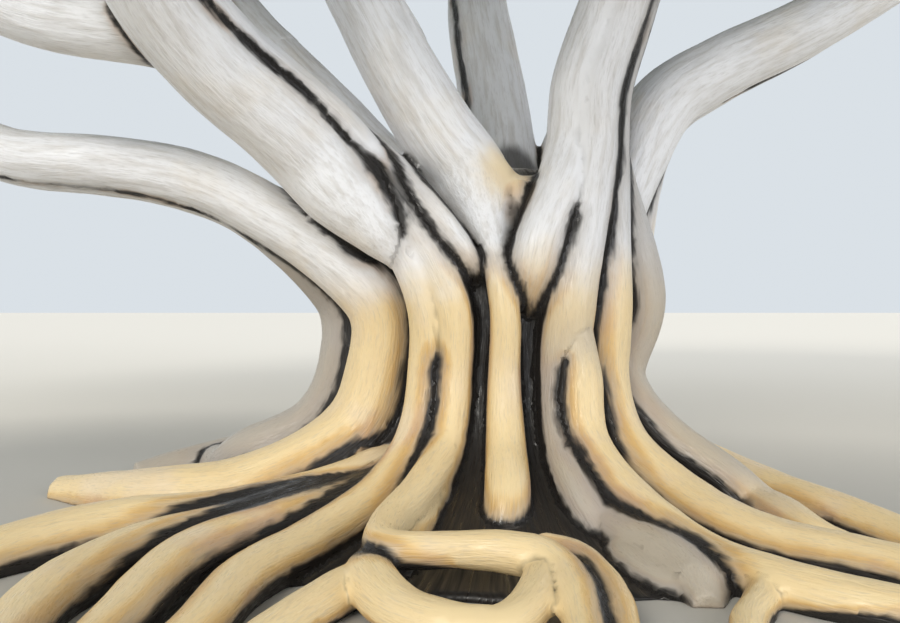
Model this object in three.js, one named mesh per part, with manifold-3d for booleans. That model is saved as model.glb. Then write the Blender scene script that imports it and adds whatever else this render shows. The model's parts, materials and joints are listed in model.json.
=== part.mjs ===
// A banyan tree: a fluted trunk of fused stems that spreads into snaking surface roots,
// eight main boughs with seven limbs growing off them, and fifteen masses of foliage that
// make one broad, flat-bottomed crown. Millimetres, +Z up, the origin on the ground
// under the middle of the trunk. Front is -Y and right is +X.
// Angles are in degrees round the trunk: 0 is right, 90 is rear, 180 is left, 270 is front.
import * as THREE from "three";
import { mergeVertices } from "three/addons/utils/BufferGeometryUtils.js";
import Module from "manifold-3d";

const wasm = await Module();
wasm.setup();

// Driving dimensions of the trunk
const WAIST_HEIGHT = 1700; // where the fused stems stand closest together
const WAIST_RING = 1080; // from the trunk's axis to the middle of each stem at the waist
// The root flare, shared by every stem: [share of the waist ring, height]
const FLARE = [
  [1.0, 1050],
  [1.18, 600],
  [1.62, 280],
];
const FOOT_TURN = [0.35, 0.75, 1]; // how far a stem has swung to its foot's angle there
const ROOT_LIE = 110; // height of a root's middle where it lies on the ground
const TIP_RADIUS = 45; // of a root where it goes into the ground
const THINNING = 1.7; // how many root lengths a root would take to thin out to its tip
// The solid heart, which spreads at its foot into the low plate that the roots stand on
const HEART_PROFILE = [
  [3300, 0],
  [2700, 50],
  [2000, 150],
  [1500, 340],
  [1200, 580],
  [1030, 900],
  [960, 1700],
  [800, 2450],
  [500, 2800],
]; // radius, height
const STUB_LENGTH = 900; // how much of each bough is one piece with the trunk
const JOINT_GAP = 0.4; // between a limb and what it grows from

// How finely the solids are cut
const BOUGH_SIDES = 10;
const BOUGH_STEPS = 8;
const LIMB_SIDES = 8;
const LIMB_STEPS = 6;
const STEM_SIDES = 7;
const STEM_STEPS = 12;
const HEART_SIDES = 18;
const ROOT_SIDES = 6;
const ROOT_STEPS = 7;
const GROUND_KNOTS = 4;
const ROOT_SWAY = 2; // degrees that a root winds from side to side
const FRAME_STEPS = 96; // of the directions worked out along each curve
const FUSE_TOLERANCE = 18;

// Driving dimensions of the crown
const CROWN_RING = 9000; // middle of the outer masses, from the trunk's axis
const CROWN_RING_HEIGHT = 10600;
const UPPER_RING = 4900;
const UPPER_RING_HEIGHT = 13300;
const TOP_HEIGHT = 14700;
const OUTER_HALF = [4300, 4200, 2900]; // a mass's half sizes: outward, across, up
const UPPER_HALF = [4000, 3900, 2800];
const TOP_HALF = [3900, 3900, 2700];
const CORE_SHARE = 0.64; // the dense heart of a mass, as a share of its half sizes
const CORE_LUMPS = [0.84, 1.12];
const CORE_ROOM = 350; // from the core to the nearest limb
const TWIG_ROOM = 300;
const LEAF_ROOM = 120;
const TWIGS = 9; // per mass
const TWIG_REACH = 0.76; // share of a mass's half sizes
const CORE_SPRAYS = 7; // per mass, standing out of the core
const TOP_REACH = 0.66; // of the twig that points straight up
const CELL_GAP = 0.035; // share of a half size that neighbouring masses keep apart
// The blade that stands for a spray of leaves. Where the full one leaves its mass's space, a
// smaller share of it is tried.
const SPRAY = { length: 1500, width: 1200, thick: 260, sunk: 0.22, shrink: [1, 0.8, 0.6] };
const TWIG_RADIUS = 70;

const GOLDEN = Math.PI * (3 - Math.sqrt(5));

// Colours read off the picture, under even light
const BARK_PALE = 0xcfc8be;
const BARK_TAN = 0xd8c08c;
const LEAF_GREEN = 0x3f6b2c;

// Small tools

function seeded(seed) {
  let state = seed;
  return () => (state = (state * 16807) % 2147483647) / 2147483647;
}

const radians = THREE.MathUtils.degToRad;
const mix = THREE.MathUtils.lerp;

function polar(radius, degrees, height) {
  const angle = radians(degrees);
  return new THREE.Vector3(radius * Math.cos(angle), radius * Math.sin(angle), height);
}

// The way that points along a compass angle and rises by some degrees.
function heading(degrees, rise) {
  return polar(Math.cos(radians(rise)), degrees, Math.sin(radians(rise)));
}

const vector = (numbers) => new THREE.Vector3(...numbers);

// The n-th of many ways spread evenly over a sphere. The middle one points outward.
function spread(index, count) {
  const z = 1 - (2 * index + 1) / count;
  const ring = Math.sqrt(1 - z * z);
  const turn = GOLDEN * (index - (count - 1) / 2);
  return new THREE.Vector3(ring * Math.cos(turn), ring * Math.sin(turn), z);
}

function solidFrom(geometry) {
  const bare = geometry.clone();
  bare.deleteAttribute("normal");
  bare.deleteAttribute("uv");
  const merged = mergeVertices(bare, 0.01);
  return new wasm.Manifold(
    new wasm.Mesh({
      numProp: 3,
      vertProperties: merged.attributes.position.array,
      triVerts: new Uint32Array(merged.index.array),
    }),
  );
}

// The largest body of a solid. Loose scraps are dropped, and so are the inner walls of
// any hollow that the joining sealed, which fills it.
function largestBody(solid) {
  return solid.decompose().reduce((a, b) => (b.volume() > a.volume() ? b : a));
}

const fuse = (solids) => largestBody(wasm.Manifold.union(solids)).simplify(FUSE_TOLERANCE);

function geometryOf(solid) {
  const mesh = solid.getMesh();
  const geometry = new THREE.BufferGeometry();
  geometry.setAttribute("position", new THREE.BufferAttribute(mesh.vertProperties.slice(), 3));
  geometry.setIndex(new THREE.BufferAttribute(mesh.triVerts.slice(), 1));
  const flat = geometry.toNonIndexed();
  flat.computeVertexNormals();
  return flat;
}

// A limb of round section along a curve: a cylinder whose rings are laid along it.
// radiusAt gives the radius at each share of the way; from and to cut the limb short.
function limbGeometry(curve, radiusAt, sides, steps, from = 0, to = 1) {
  const geometry = new THREE.CylinderGeometry(1, 1, 1, sides, steps);
  const frames = curve.computeFrenetFrames(FRAME_STEPS, false);
  const spot = geometry.attributes.position;
  const out = new THREE.Vector3();
  for (let i = 0; i < spot.count; i++) {
    const share = mix(from, to, spot.getY(i) + 0.5);
    const frame = Math.round(share * FRAME_STEPS);
    curve.getPointAt(share, out);
    const radius = radiusAt(share);
    out.addScaledVector(frames.normals[frame], spot.getZ(i) * radius);
    out.addScaledVector(frames.binormals[frame], spot.getX(i) * radius);
    spot.setXYZ(i, out.x, out.y, out.z);
  }
  return geometry;
}

const limbSolid = (...given) => solidFrom(limbGeometry(...given));

// The crown's masses: each has a middle, its own directions, and half sizes

function massAt(name, ring, degrees, height, half) {
  return {
    name,
    degrees,
    middle: polar(ring, degrees, height),
    axes: [heading(degrees, 0), heading(degrees + 90, 0), new THREE.Vector3(0, 0, 1)],
    half,
  };
}

const outer = (name, degrees, raise = 0, further = 0) =>
  massAt(name, CROWN_RING + further, degrees, CROWN_RING_HEIGHT + raise, OUTER_HALF);
const upper = (name, degrees, raise = 0) =>
  massAt(name, UPPER_RING, degrees, UPPER_RING_HEIGHT + raise, UPPER_HALF);

const MASSES = [
  outer("foliage_right", 0, -300, 200),
  outer("foliage_rear_right", 42, 300),
  outer("foliage_rear", 88, 500, -200),
  outer("foliage_rear_left", 132, 300, 100),
  outer("foliage_left", 174, -1500, 800),
  outer("foliage_left_front", 212, -100, 100),
  outer("foliage_front_left", 250, 100, -400),
  outer("foliage_front_right", 290, -100, -300),
  outer("foliage_right_front", 327, -200),
  upper("foliage_upper_right", 18, 0),
  upper("foliage_upper_rear", 90, 200),
  upper("foliage_upper_left", 160, 0),
  upper("foliage_upper_front", 232, 100),
  upper("foliage_upper_front_right", 304, -100),
  massAt("foliage_top", 200, 60, TOP_HEIGHT, TOP_HALF),
];
const massNamed = Object.fromEntries(MASSES.map((mass) => [mass.name, mass]));

// How far out a point lies in a mass, 1 at its edge.
function reachIn(mass, point) {
  const from = point.clone().sub(mass.middle);
  return Math.hypot(...mass.axes.map((axis, i) => from.dot(axis) / mass.half[i]));
}

function pointIn(mass, way, share) {
  const point = mass.middle.clone();
  way.toArray().forEach((value, i) => {
    point.addScaledVector(mass.axes[i], value * share * mass.half[i]);
  });
  return point;
}

// A mass keeps to its own space: inside its edge, and nearer to it than to any other.
function isInSpace(mass, point) {
  const own = reachIn(mass, point);
  return own < 1 && MASSES.every((other) => other === mass || reachIn(other, point) > own + CELL_GAP);
}

// The boughs and limbs
// A limb runs from its base through the places in via, then over a bend to the underside
// of its mass. bend is how far the middle of that last stretch hangs outward and down, and
// into is where the tip enters the mass, in shares of the half sizes. Radii are at base
// and tip.

const BOUGHS = [
  {
    name: "bough_low_left", mass: "foliage_left", base: [-1450, -360, 2160],
    via: [[-2800, -400, 2760], [-4300, -400, 2960]],
    bend: 1100, radius: [290, 150], into: [-0.62, 0.05, -0.5],
  },
  {
    name: "bough_high_left", mass: "foliage_front_left", base: [-1020, -520, 2380],
    via: [[-1640, -800, 2990], [-2450, -1600, 3770]],
    bend: 600, radius: [475, 180], into: [-0.55, 0, -0.55],
  },
  {
    name: "bough_centre_left", mass: "foliage_upper_left", base: [60, -400, 2250],
    via: [[-640, -570, 3180], [-1180, -540, 4170]],
    bend: 300, radius: [345, 160], into: [-0.15, 0, -0.78],
  },
  {
    name: "bough_rear", mass: "foliage_rear", base: [110, 600, 2500],
    via: [[50, 980, 3550], [-130, 1400, 4900]],
    bend: 250, radius: [450, 170], into: [-0.5, 0, -0.6],
  },
  {
    name: "bough_centre_right", mass: "foliage_upper_front_right", base: [650, -540, 2350],
    via: [[655, -610, 3370], [900, -620, 4160]],
    bend: 300, radius: [385, 160], into: [-0.15, 0, -0.78],
  },
  {
    name: "bough_right", mass: "foliage_right", base: [800, 120, 2850],
    via: [[1880, 300, 3740], [3410, 300, 4550]],
    bend: 700, radius: [380, 160], into: [-0.6, 0, -0.5],
  },
  {
    name: "bough_rear_left", mass: "foliage_rear_left", base: [-560, 560, 2400],
    via: [[-1300, 1050, 3300], [-2900, 2050, 5150]],
    bend: 500, radius: [370, 160], into: [-0.55, 0, -0.55],
  },
  {
    name: "bough_rear_right", mass: "foliage_rear_right", base: [520, 640, 2480],
    via: [[950, 1150, 3600], [1400, 1650, 5000]],
    bend: 600, radius: [350, 160], into: [-0.55, 0, -0.55],
  },
];

// A limb off a bough leaves it at a share of its length, by a compass angle and a rise.
const LIMBS = [
  {
    name: "limb_left", mass: "foliage_left_front", parent: "bough_high_left", at: 0.215,
    way: [188, 12], leave: 1500, bend: 700, radius: [260, 120], into: [-0.6, 0, -0.5],
  },
  {
    name: "limb_upper_front", mass: "foliage_upper_front", parent: "bough_high_left", at: 0.4,
    way: [225, 55], leave: 1100, bend: 150, radius: [210, 120], into: [-0.1, 0, -0.78],
  },
  {
    name: "limb_top", mass: "foliage_top", parent: "bough_centre_left", at: 0.34,
    way: [35, 66], leave: 1500, bend: 0, radius: [210, 120], into: [0, 0, -0.78],
  },
  {
    name: "limb_upper_rear", mass: "foliage_upper_rear", parent: "bough_rear", at: 0.4,
    way: [75, 70], leave: 1300, bend: 0, radius: [230, 120], into: [-0.1, 0, -0.78],
  },
  {
    name: "limb_upper_right", mass: "foliage_upper_right", parent: "bough_rear_right", at: 0.34,
    way: [0, 62], leave: 1300, bend: 200, radius: [210, 120], into: [-0.1, 0, -0.78],
  },
  {
    name: "limb_front_right", mass: "foliage_front_right", parent: "bough_centre_right", at: 0.34,
    way: [286, 40], leave: 1200, bend: 500, radius: [220, 120], into: [-0.6, 0, -0.5],
  },
  {
    name: "limb_right_front", mass: "foliage_right_front", parent: "bough_right", at: 0.4,
    way: [318, 30], leave: 1100, bend: 500, radius: [220, 120], into: [-0.6, 0, -0.5],
  },
];

function growthCurve(limb, base, via) {
  const mass = massNamed[limb.mass];
  const tip = pointIn(mass, vector(limb.into), 1);
  const middle = via.at(-1).clone().lerp(tip, 0.5);
  middle.addScaledVector(heading(mass.degrees, -45), limb.bend);
  return new THREE.CatmullRomCurve3([base, ...via, middle, tip], false, "centripetal");
}

const taperOf = (limb) => (share) => mix(limb.radius[0], limb.radius[1], Math.pow(share, 0.85));

for (const bough of BOUGHS) {
  bough.curve = growthCurve(bough, vector(bough.base), bough.via.map(vector));
}
const boughNamed = Object.fromEntries(BOUGHS.map((bough) => [bough.name, bough]));
for (const limb of LIMBS) {
  const base = boughNamed[limb.parent].curve.getPointAt(limb.at);
  limb.curve = growthCurve(limb, base, [
    base.clone().addScaledVector(heading(...limb.way), limb.leave),
  ]);
}

// The trunk's stems: each runs down a bough's flank, through the waist at its own angle,
// over the root flare and out along the ground as one root.
// around: angle at the waist, or where a side root leaves. girth: radius there.
// turn: how far the root has swung round the trunk at its tip. bow: how far it swings
// aside halfway. reach: from the trunk's axis to the tip. ring and flare: its own share
// of the waist ring and of the spread at the foot. foot: angle where the root leaves the
// flare, if not that at the waist. hug: how far it leans out of its bough's middle.
// swell: how much stouter it is below the bough.

const STEMS = [
  { bough: "bough_low_left", around: 200, girth: 340, turn: -16, bow: 2, reach: 3850, hug: 0.3, swell: 0 },
  { bough: "bough_low_left", around: 178, girth: 270, turn: -22, reach: 3400, ring: 1.28, swell: 0 },
  { bough: "bough_high_left", around: 235, foot: 237.5, girth: 190, turn: 7, reach: 4600 },
  { bough: "bough_high_left", around: 245.5, foot: 248.5, girth: 160, turn: 3, bow: 1, reach: 4700 },
  { bough: "bough_centre_left", around: 268, girth: 145, turn: 1, reach: 2200, flare: 0.9 },
  { bough: "bough_centre_right", around: 296, foot: 285, girth: 200, turn: 1, reach: 3100 },
  { bough: "bough_centre_right", around: 319, foot: 312.5, girth: 200, turn: 9.5, bow: -9, reach: 4700 },
  { bough: "bough_centre_right", around: 346, foot: 334, girth: 240, turn: -14, reach: 2900, ring: 1.09 },
  { bough: "bough_right", around: 10, girth: 280, turn: -46, bow: -10, reach: 3800 },
  { bough: "bough_rear_right", around: 43, girth: 320, turn: 8, reach: 3300 },
  { bough: "bough_rear", around: 76, girth: 330, turn: 6, bow: 4, reach: 4800 },
  { bough: "bough_rear", around: 107, girth: 320, turn: -4, bow: -5, reach: 4500 },
  { bough: "bough_rear_left", around: 137, girth: 320, turn: -6, reach: 3500 },
  { bough: "bough_rear_left", around: 158, girth: 330, turn: 12, reach: 3500, ring: 1.12 },
];

// Ridges that run down a bough and die out in a groove near the waist. ring: its own share
// of the waist ring just above its end.
const RIDGES = [
  { bough: "bough_high_left", around: 226, girth: 140, ends: 1550, ring: 1.1 },
  { bough: "bough_high_left", around: 254.2, girth: 130, ends: 1650 },
  { bough: "bough_centre_right", around: 281.5, girth: 200, ends: 1300 },
  { bough: "bough_right", around: 352, girth: 240, ends: 1500, ring: 0.8 },
];

// Roots that leave the flare between two stems. top: the height at which one leaves.
const SIDE_ROOTS = [
  { around: 221, girth: 250, turn: 0, bow: -7, reach: 4800 },
  { around: 221, girth: 230, turn: 17, bow: -5, reach: 4700 },
  { around: 229, girth: 220, turn: 14, bow: -4, reach: 4700 },
  { around: 297, foot: 292.5, girth: 180, turn: 14.5, bow: -1.2, reach: 4600, top: 2050 },
  { around: 27, girth: 220, turn: -4, bow: 5, reach: 3100 },
  { around: 61, girth: 210, turn: 5, bow: -5, reach: 4200 },
  { around: 92, girth: 220, turn: 4, bow: 4, reach: 4900 },
  { around: 122, girth: 210, turn: 0, bow: -5, reach: 4300 },
  { around: 151, girth: 220, turn: 3, bow: 4, reach: 3000 },
];

// Roots in front of the trunk: three that loop across it, partly clear of the ground, and
// two short ones that fork off near the ground on the right.
// Each knot: [from the axis, angle, height of the middle, radius]
const LOOP_ROOTS = [
  [
    [1050, 246.5, 1100, 130],
    [1240, 247.5, 640, 150],
    [1850, 249.5, 400, 130],
    [2500, 250.5, 300, 120],
    [2830, 253.5, 270, 110],
    [2790, 262, 270, 100],
    [2800, 267, 270, 115],
    [2960, 272.8, 200, 120],
    [3490, 273, 110, 100],
    [4300, 272, 20, 50],
  ],
  [
    [2750, 250, 120, 100],
    [3100, 253.5, 140, 130],
    [3380, 258.5, 130, 130],
    [3520, 264, 120, 120],
    [3220, 269.3, 150, 120],
    [2980, 270.6, 180, 110],
  ],
  [
    [2470, 272, 220, 80],
    [2640, 275.8, 200, 90],
    [3240, 276.7, 130, 95],
    [4100, 275, 20, 45],
  ],
  [
    [2800, 296.5, 70, 90],
    [3050, 293.3, 80, 100],
    [3220, 290.8, 70, 100],
    [3700, 284.5, 20, 60],
  ],
  [
    [1700, 288.5, 170, 120],
    [2150, 289.5, 90, 160],
    [2500, 289.8, 40, 180],
    [2850, 288.5, 0, 170],
    [3050, 287, -30, 100],
  ],
];

// The rim of the fork: a short strand that crosses between the two centre boughs.
const FORK_RIM = {
  girth: 170,
  knots: [
    [-420, -560, 3120],
    [-190, -620, 2820],
    [40, -640, 2560],
    [260, -580, 2560],
    [480, -480, 2700],
  ],
};

// The knots of a root along the ground, from the end of the flare to its tip.
function groundKnots(root, start) {
  const foot = root.foot ?? root.around;
  return Array.from({ length: GROUND_KNOTS }, (_, i) => {
    const share = (i + 1) / GROUND_KNOTS;
    const swing = root.turn * share + (root.bow ?? 0) * Math.sin(Math.PI * share);
    const sway = ROOT_SWAY * Math.sin(2 * Math.PI * share + root.around);
    return polar(
      mix(start, root.reach, share),
      foot + swing + sway,
      ROOT_LIE * (1 - 0.9 * share * share),
    );
  });
}

// The knots of a stem on its bough: it rises out of the flank that faces its place at the
// waist.
function flankKnots(stem, waist) {
  const bough = boughNamed[stem.bough];
  return [
    [0.075, 0.3],
    [0.025, 0.6],
  ].map(([share, depth]) => {
    const on = bough.curve.getPointAt(share);
    const along = bough.curve.getTangentAt(share);
    const flank = waist.clone().sub(on);
    flank.addScaledVector(along, -flank.dot(along)).normalize();
    return on.addScaledVector(flank, bough.radius[0] * depth * (stem.hug ?? 1));
  });
}

// A stem rises out of its bough, is stoutest just below it, and thins out on the ground.
function stemTaper(stem) {
  return (share) => {
    const rise = mix(0.6, 1, THREE.MathUtils.smoothstep(share, 0, 0.06));
    const crown = 1 + (stem.swell ?? 0.4) * (1 - THREE.MathUtils.smoothstep(share, 0.04, 0.24));
    const thin = THREE.MathUtils.smoothstep(share, 0.45, THINNING);
    return mix(stem.girth * rise * crown, TIP_RADIUS, thin);
  };
}

function stemSolid(stem) {
  const ring = WAIST_RING * (stem.ring ?? 1);
  const waist = polar(ring, stem.around, WAIST_HEIGHT);
  const out = (share) => ring * mix(1, share, stem.flare ?? 1);
  const angleAt = (i) => mix(stem.around, stem.foot ?? stem.around, FOOT_TURN[i]);
  const knots = [
    ...flankKnots(stem, waist),
    waist,
    ...FLARE.map(([share, height], i) => polar(out(share), angleAt(i), height)),
    ...groundKnots(stem, out(FLARE.at(-1)[0])),
  ];
  const curve = new THREE.CatmullRomCurve3(knots, false, "centripetal");
  return limbSolid(curve, stemTaper(stem), STEM_SIDES, STEM_STEPS);
}

function ridgeSolid(ridge) {
  const ring = ridge.ring ?? 0.98;
  const knots = [
    ...flankKnots(ridge, polar(WAIST_RING, ridge.around, WAIST_HEIGHT)),
    polar(WAIST_RING * ring, ridge.around, WAIST_HEIGHT + 350),
    polar(WAIST_RING * (ring - 0.28), ridge.around, ridge.ends),
  ];
  const curve = new THREE.CatmullRomCurve3(knots, false, "centripetal");
  const radius = (share) => ridge.girth * (1 - 0.75 * share * share);
  return limbSolid(curve, radius, ROOT_SIDES, ROOT_STEPS);
}

function sideRootSolid(root) {
  const low = [
    [0.7, 0, 620],
    [1.3, 0, 260],
  ];
  const high = [
    [1, 0, root.top],
    [1.08, 0.1, 1550],
    [1.14, 0.3, 1150],
    [1.29, 0.7, 620],
  ];
  const foot = root.foot ?? root.around;
  const knots = [
    ...(root.top ? high : low).map(([share, turned, height]) =>
      polar(WAIST_RING * share, mix(root.around, foot, turned), height),
    ),
    ...groundKnots(root, WAIST_RING * 1.62),
  ];
  const curve = new THREE.CatmullRomCurve3(knots, false, "centripetal");
  const radius = (share) => mix(root.girth, TIP_RADIUS, THREE.MathUtils.smoothstep(share, 0.3, THINNING));
  return limbSolid(curve, radius, ROOT_SIDES, ROOT_STEPS);
}

function loopRootSolid(knots) {
  const curve = new THREE.CatmullRomCurve3(
    knots.map(([reach, around, height]) => polar(reach, around, height)),
    false,
    "centripetal",
  );
  const radius = (share) => {
    const at = Math.min(share * (knots.length - 1), knots.length - 1.001);
    const knot = Math.floor(at);
    return mix(knots[knot][3], knots[knot + 1][3], at - knot);
  };
  return limbSolid(curve, radius, ROOT_SIDES, knots.length - 1);
}

function forkRimSolid() {
  const curve = new THREE.CatmullRomCurve3(FORK_RIM.knots.map(vector), false, "centripetal");
  return limbSolid(curve, () => FORK_RIM.girth, ROOT_SIDES, 4);
}

// The solid heart that the stems are fused round.
function heartSolid() {
  const foot = HEART_PROFILE[0][0];
  const top = HEART_PROFILE.at(-1)[1];
  const profile = [[0, -200], [foot, -200], ...HEART_PROFILE, [0, top]].map(
    ([radius, height]) => new THREE.Vector2(radius, height),
  );
  const lathe = new THREE.LatheGeometry(profile, HEART_SIDES);
  lathe.rotateX(Math.PI / 2);
  return solidFrom(lathe);
}

// A bough's first stretch is one piece with the trunk, and the rest is its own piece.
const stubShare = (bough) => STUB_LENGTH / bough.curve.getLength();
const stubSolid = (bough) =>
  limbSolid(bough.curve, taperOf(bough), BOUGH_SIDES, 2, 0, stubShare(bough));

function boughSolid(bough, room = 0) {
  const from = stubShare(bough) + (JOINT_GAP - room) / bough.curve.getLength();
  const radius = (share) => taperOf(bough)(share) + room;
  return limbSolid(bough.curve, radius, BOUGH_SIDES, BOUGH_STEPS, from, 1);
}

function limbOffBough(limb, room = 0) {
  const radius = (share) => taperOf(limb)(share) + room;
  const whole = limbSolid(limb.curve, radius, LIMB_SIDES, LIMB_STEPS);
  return largestBody(whole.subtract(boughSolid(boughNamed[limb.parent], JOINT_GAP)));
}

// Cuts room for neighbouring limbs out of a solid, so that it stays just clear of them.
const clearOf = (solid, rooms) => largestBody(wasm.Manifold.difference([solid, ...rooms]));

function trunkSolid() {
  const fused = fuse([
    heartSolid(),
    ...BOUGHS.map(stubSolid),
    ...STEMS.map(stemSolid),
    ...RIDGES.map(ridgeSolid),
    ...SIDE_ROOTS.map(sideRootSolid),
    ...LOOP_ROOTS.map(loopRootSolid),
    forkRimSolid(),
  ]);
  const rooms = BOUGHS.map((bough) => boughSolid(bough, JOINT_GAP));
  return clearOf(fused.trimByPlane([0, 0, 1], 0), rooms);
}

// The tree as named meshes

const bark = new THREE.MeshStandardMaterial({ color: BARK_PALE, roughness: 0.85, metalness: 0 });
const rootBark = new THREE.MeshStandardMaterial({ color: BARK_TAN, roughness: 0.9, metalness: 0 });
const leaf = new THREE.MeshStandardMaterial({ color: LEAF_GREEN, roughness: 0.6, metalness: 0 });

const tree = new THREE.Group();

function place(name, solid, material) {
  const mesh = new THREE.Mesh(geometryOf(solid), material);
  mesh.name = name;
  tree.add(mesh);
  return mesh;
}

place("trunk", trunkSolid(), rootBark);

for (const bough of BOUGHS) place(bough.name, boughSolid(bough), bark);
for (const limb of LIMBS) place(limb.name, limbOffBough(limb), bark);

// The foliage, each mass grown by the same rule from a seed of its own

const FIRST_SEED = 1009;
const SEED_STEP = 131;

const WOOD_SPOTS = [...BOUGHS, ...LIMBS].flatMap((limb) =>
  Array.from({ length: 41 }, (_, i) => ({
    point: limb.curve.getPointAt(i / 40),
    radius: taperOf(limb)(i / 40),
  })),
);

function isClearOfWood(point, room) {
  return WOOD_SPOTS.every((spot) => spot.point.distanceTo(point) > spot.radius + room);
}

// The core: a lumpy ball, flatter below, drawn in wherever a neighbour or a limb is close.
function coreSolid(mass, random) {
  const ball = new THREE.IcosahedronGeometry(1, 1);
  const merged = mergeVertices(ball.deleteAttribute("normal").deleteAttribute("uv"), 0.001);
  const spot = merged.attributes.position;
  const way = new THREE.Vector3();
  for (let i = 0; i < spot.count; i++) {
    way.fromBufferAttribute(spot, i);
    if (way.z < 0) way.z *= 0.7;
    let share = CORE_SHARE * mix(...CORE_LUMPS, random());
    const isTight = () => {
      const point = pointIn(mass, way, share);
      return !isInSpace(mass, pointIn(mass, way, share * 1.1)) || !isClearOfWood(point, CORE_ROOM);
    };
    while (share > 0.2 && isTight()) share *= 0.94;
    const point = pointIn(mass, way, share);
    spot.setXYZ(i, point.x, point.y, point.z);
  }
  return solidFrom(merged);
}

// One spray of leaves stands as one blade with a ridge: eight faces.
function sprayGeometry(root, way, face, size) {
  const blade = new THREE.OctahedronGeometry(0.5);
  const across = new THREE.Vector3().crossVectors(face, way).normalize();
  const up = new THREE.Vector3().crossVectors(way, across).normalize();
  const spot = blade.attributes.position;
  for (let i = 0; i < spot.count; i++) {
    const [x, y, z] = [spot.getX(i), spot.getY(i), spot.getZ(i)];
    const along = (x + 0.5 - SPRAY.sunk - (y === 0 ? 0 : 0.08)) * SPRAY.length * size;
    const droop = -0.16 * Math.max(0, x) * SPRAY.length * size;
    const point = root.clone();
    point.addScaledVector(way, along);
    point.addScaledVector(across, y * SPRAY.width * size);
    point.addScaledVector(up, z * SPRAY.thick + droop);
    spot.setXYZ(i, point.x, point.y, point.z);
  }
  return blade;
}

function fits(mass, geometry) {
  const spot = geometry.attributes.position;
  const point = new THREE.Vector3();
  for (let i = 0; i < spot.count; i++) {
    point.fromBufferAttribute(spot, i);
    if (!isInSpace(mass, point) || !isClearOfWood(point, LEAF_ROOM)) return false;
  }
  return true;
}

// A twig of three sides from the mass's hub to a place near its edge.
function twigCurve(mass, hub, way, share) {
  const end = pointIn(mass, way, share);
  const knee = hub.clone().lerp(end, 0.55);
  knee.z += 0.05 * mass.half[2];
  return new THREE.QuadraticBezierCurve3(hub, knee, end);
}

function massSolid(mass, seed) {
  const random = seeded(seed);
  const limb = [...BOUGHS, ...LIMBS].find((each) => each.mass === mass.name);
  const tip = limb.curve.getPoint(1);
  const along = limb.curve.getTangent(1);
  const core = coreSolid(mass, random);
  const hub = pointIn(mass, new THREE.Vector3(0, 0, -1), 0.1);
  const foot = tip.clone().addScaledVector(along, JOINT_GAP);
  const knee = foot.clone().addScaledVector(along, 0.4 * foot.distanceTo(hub));
  const stem = new THREE.QuadraticBezierCurve3(foot, knee, hub);
  const parts = [core, limbSolid(stem, () => limb.radius[1] * 0.9, 3, 2)];
  const addSpray = (root, outward) => {
    const size = mix(0.8, 1.15, random());
    const lean = new THREE.Vector3(random() - 0.5, random() - 0.5, random() - 0.5);
    const way = outward.clone().addScaledVector(lean, 0.9).normalize();
    const blades = SPRAY.shrink.map((share) => sprayGeometry(root, way, outward, size * share));
    const blade = blades.find((each) => fits(mass, each));
    if (blade) parts.push(solidFrom(blade));
  };
  for (let i = 0; i < TWIGS; i++) {
    const way = spread(i, TWIGS);
    if (way.z < -0.5) way.z = -0.5;
    if (i === 0) way.set(0, 0, 1);
    const curve = twigCurve(mass, hub, way, i === 0 ? TOP_REACH : TWIG_REACH);
    const end = curve.getPoint(1);
    if (!isInSpace(mass, end) || !isClearOfWood(end, TWIG_ROOM)) continue;
    parts.push(limbSolid(curve, (share) => TWIG_RADIUS * (1.3 - 0.6 * share), 3, 1));
    const outward = curve.getTangent(1);
    addSpray(curve.getPoint(1), outward);
  }
  for (let i = 0; i < CORE_SPRAYS; i++) {
    const way = spread(i + 0.5, CORE_SPRAYS);
    if (way.z < -0.6) continue;
    const root = pointIn(mass, way, CORE_SHARE * 0.86);
    const aside = new THREE.Vector3(random() - 0.5, random() - 0.5, random() - 0.7);
    const outward = root.clone().sub(mass.middle).normalize();
    addSpray(root, outward.addScaledVector(aside, 1.4).normalize());
  }
  const room = limb.parent ? limbOffBough(limb, JOINT_GAP / 2) : boughSolid(limb, JOINT_GAP / 2);
  return clearOf(fuse(parts), [room]);
}

MASSES.forEach((mass, i) => place(mass.name, massSolid(mass, FIRST_SEED + SEED_STEP * i), leaf));

export default tree;
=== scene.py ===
# A banyan tree: a fluted trunk of fused stems that spreads into snaking surface roots,
# boughs and limbs with smooth pale bark, and a broad crown of leathery leaves.
# Metres, +Z up, the origin on the ground under the middle of the trunk, front is -Y.
import json
import math

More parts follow.
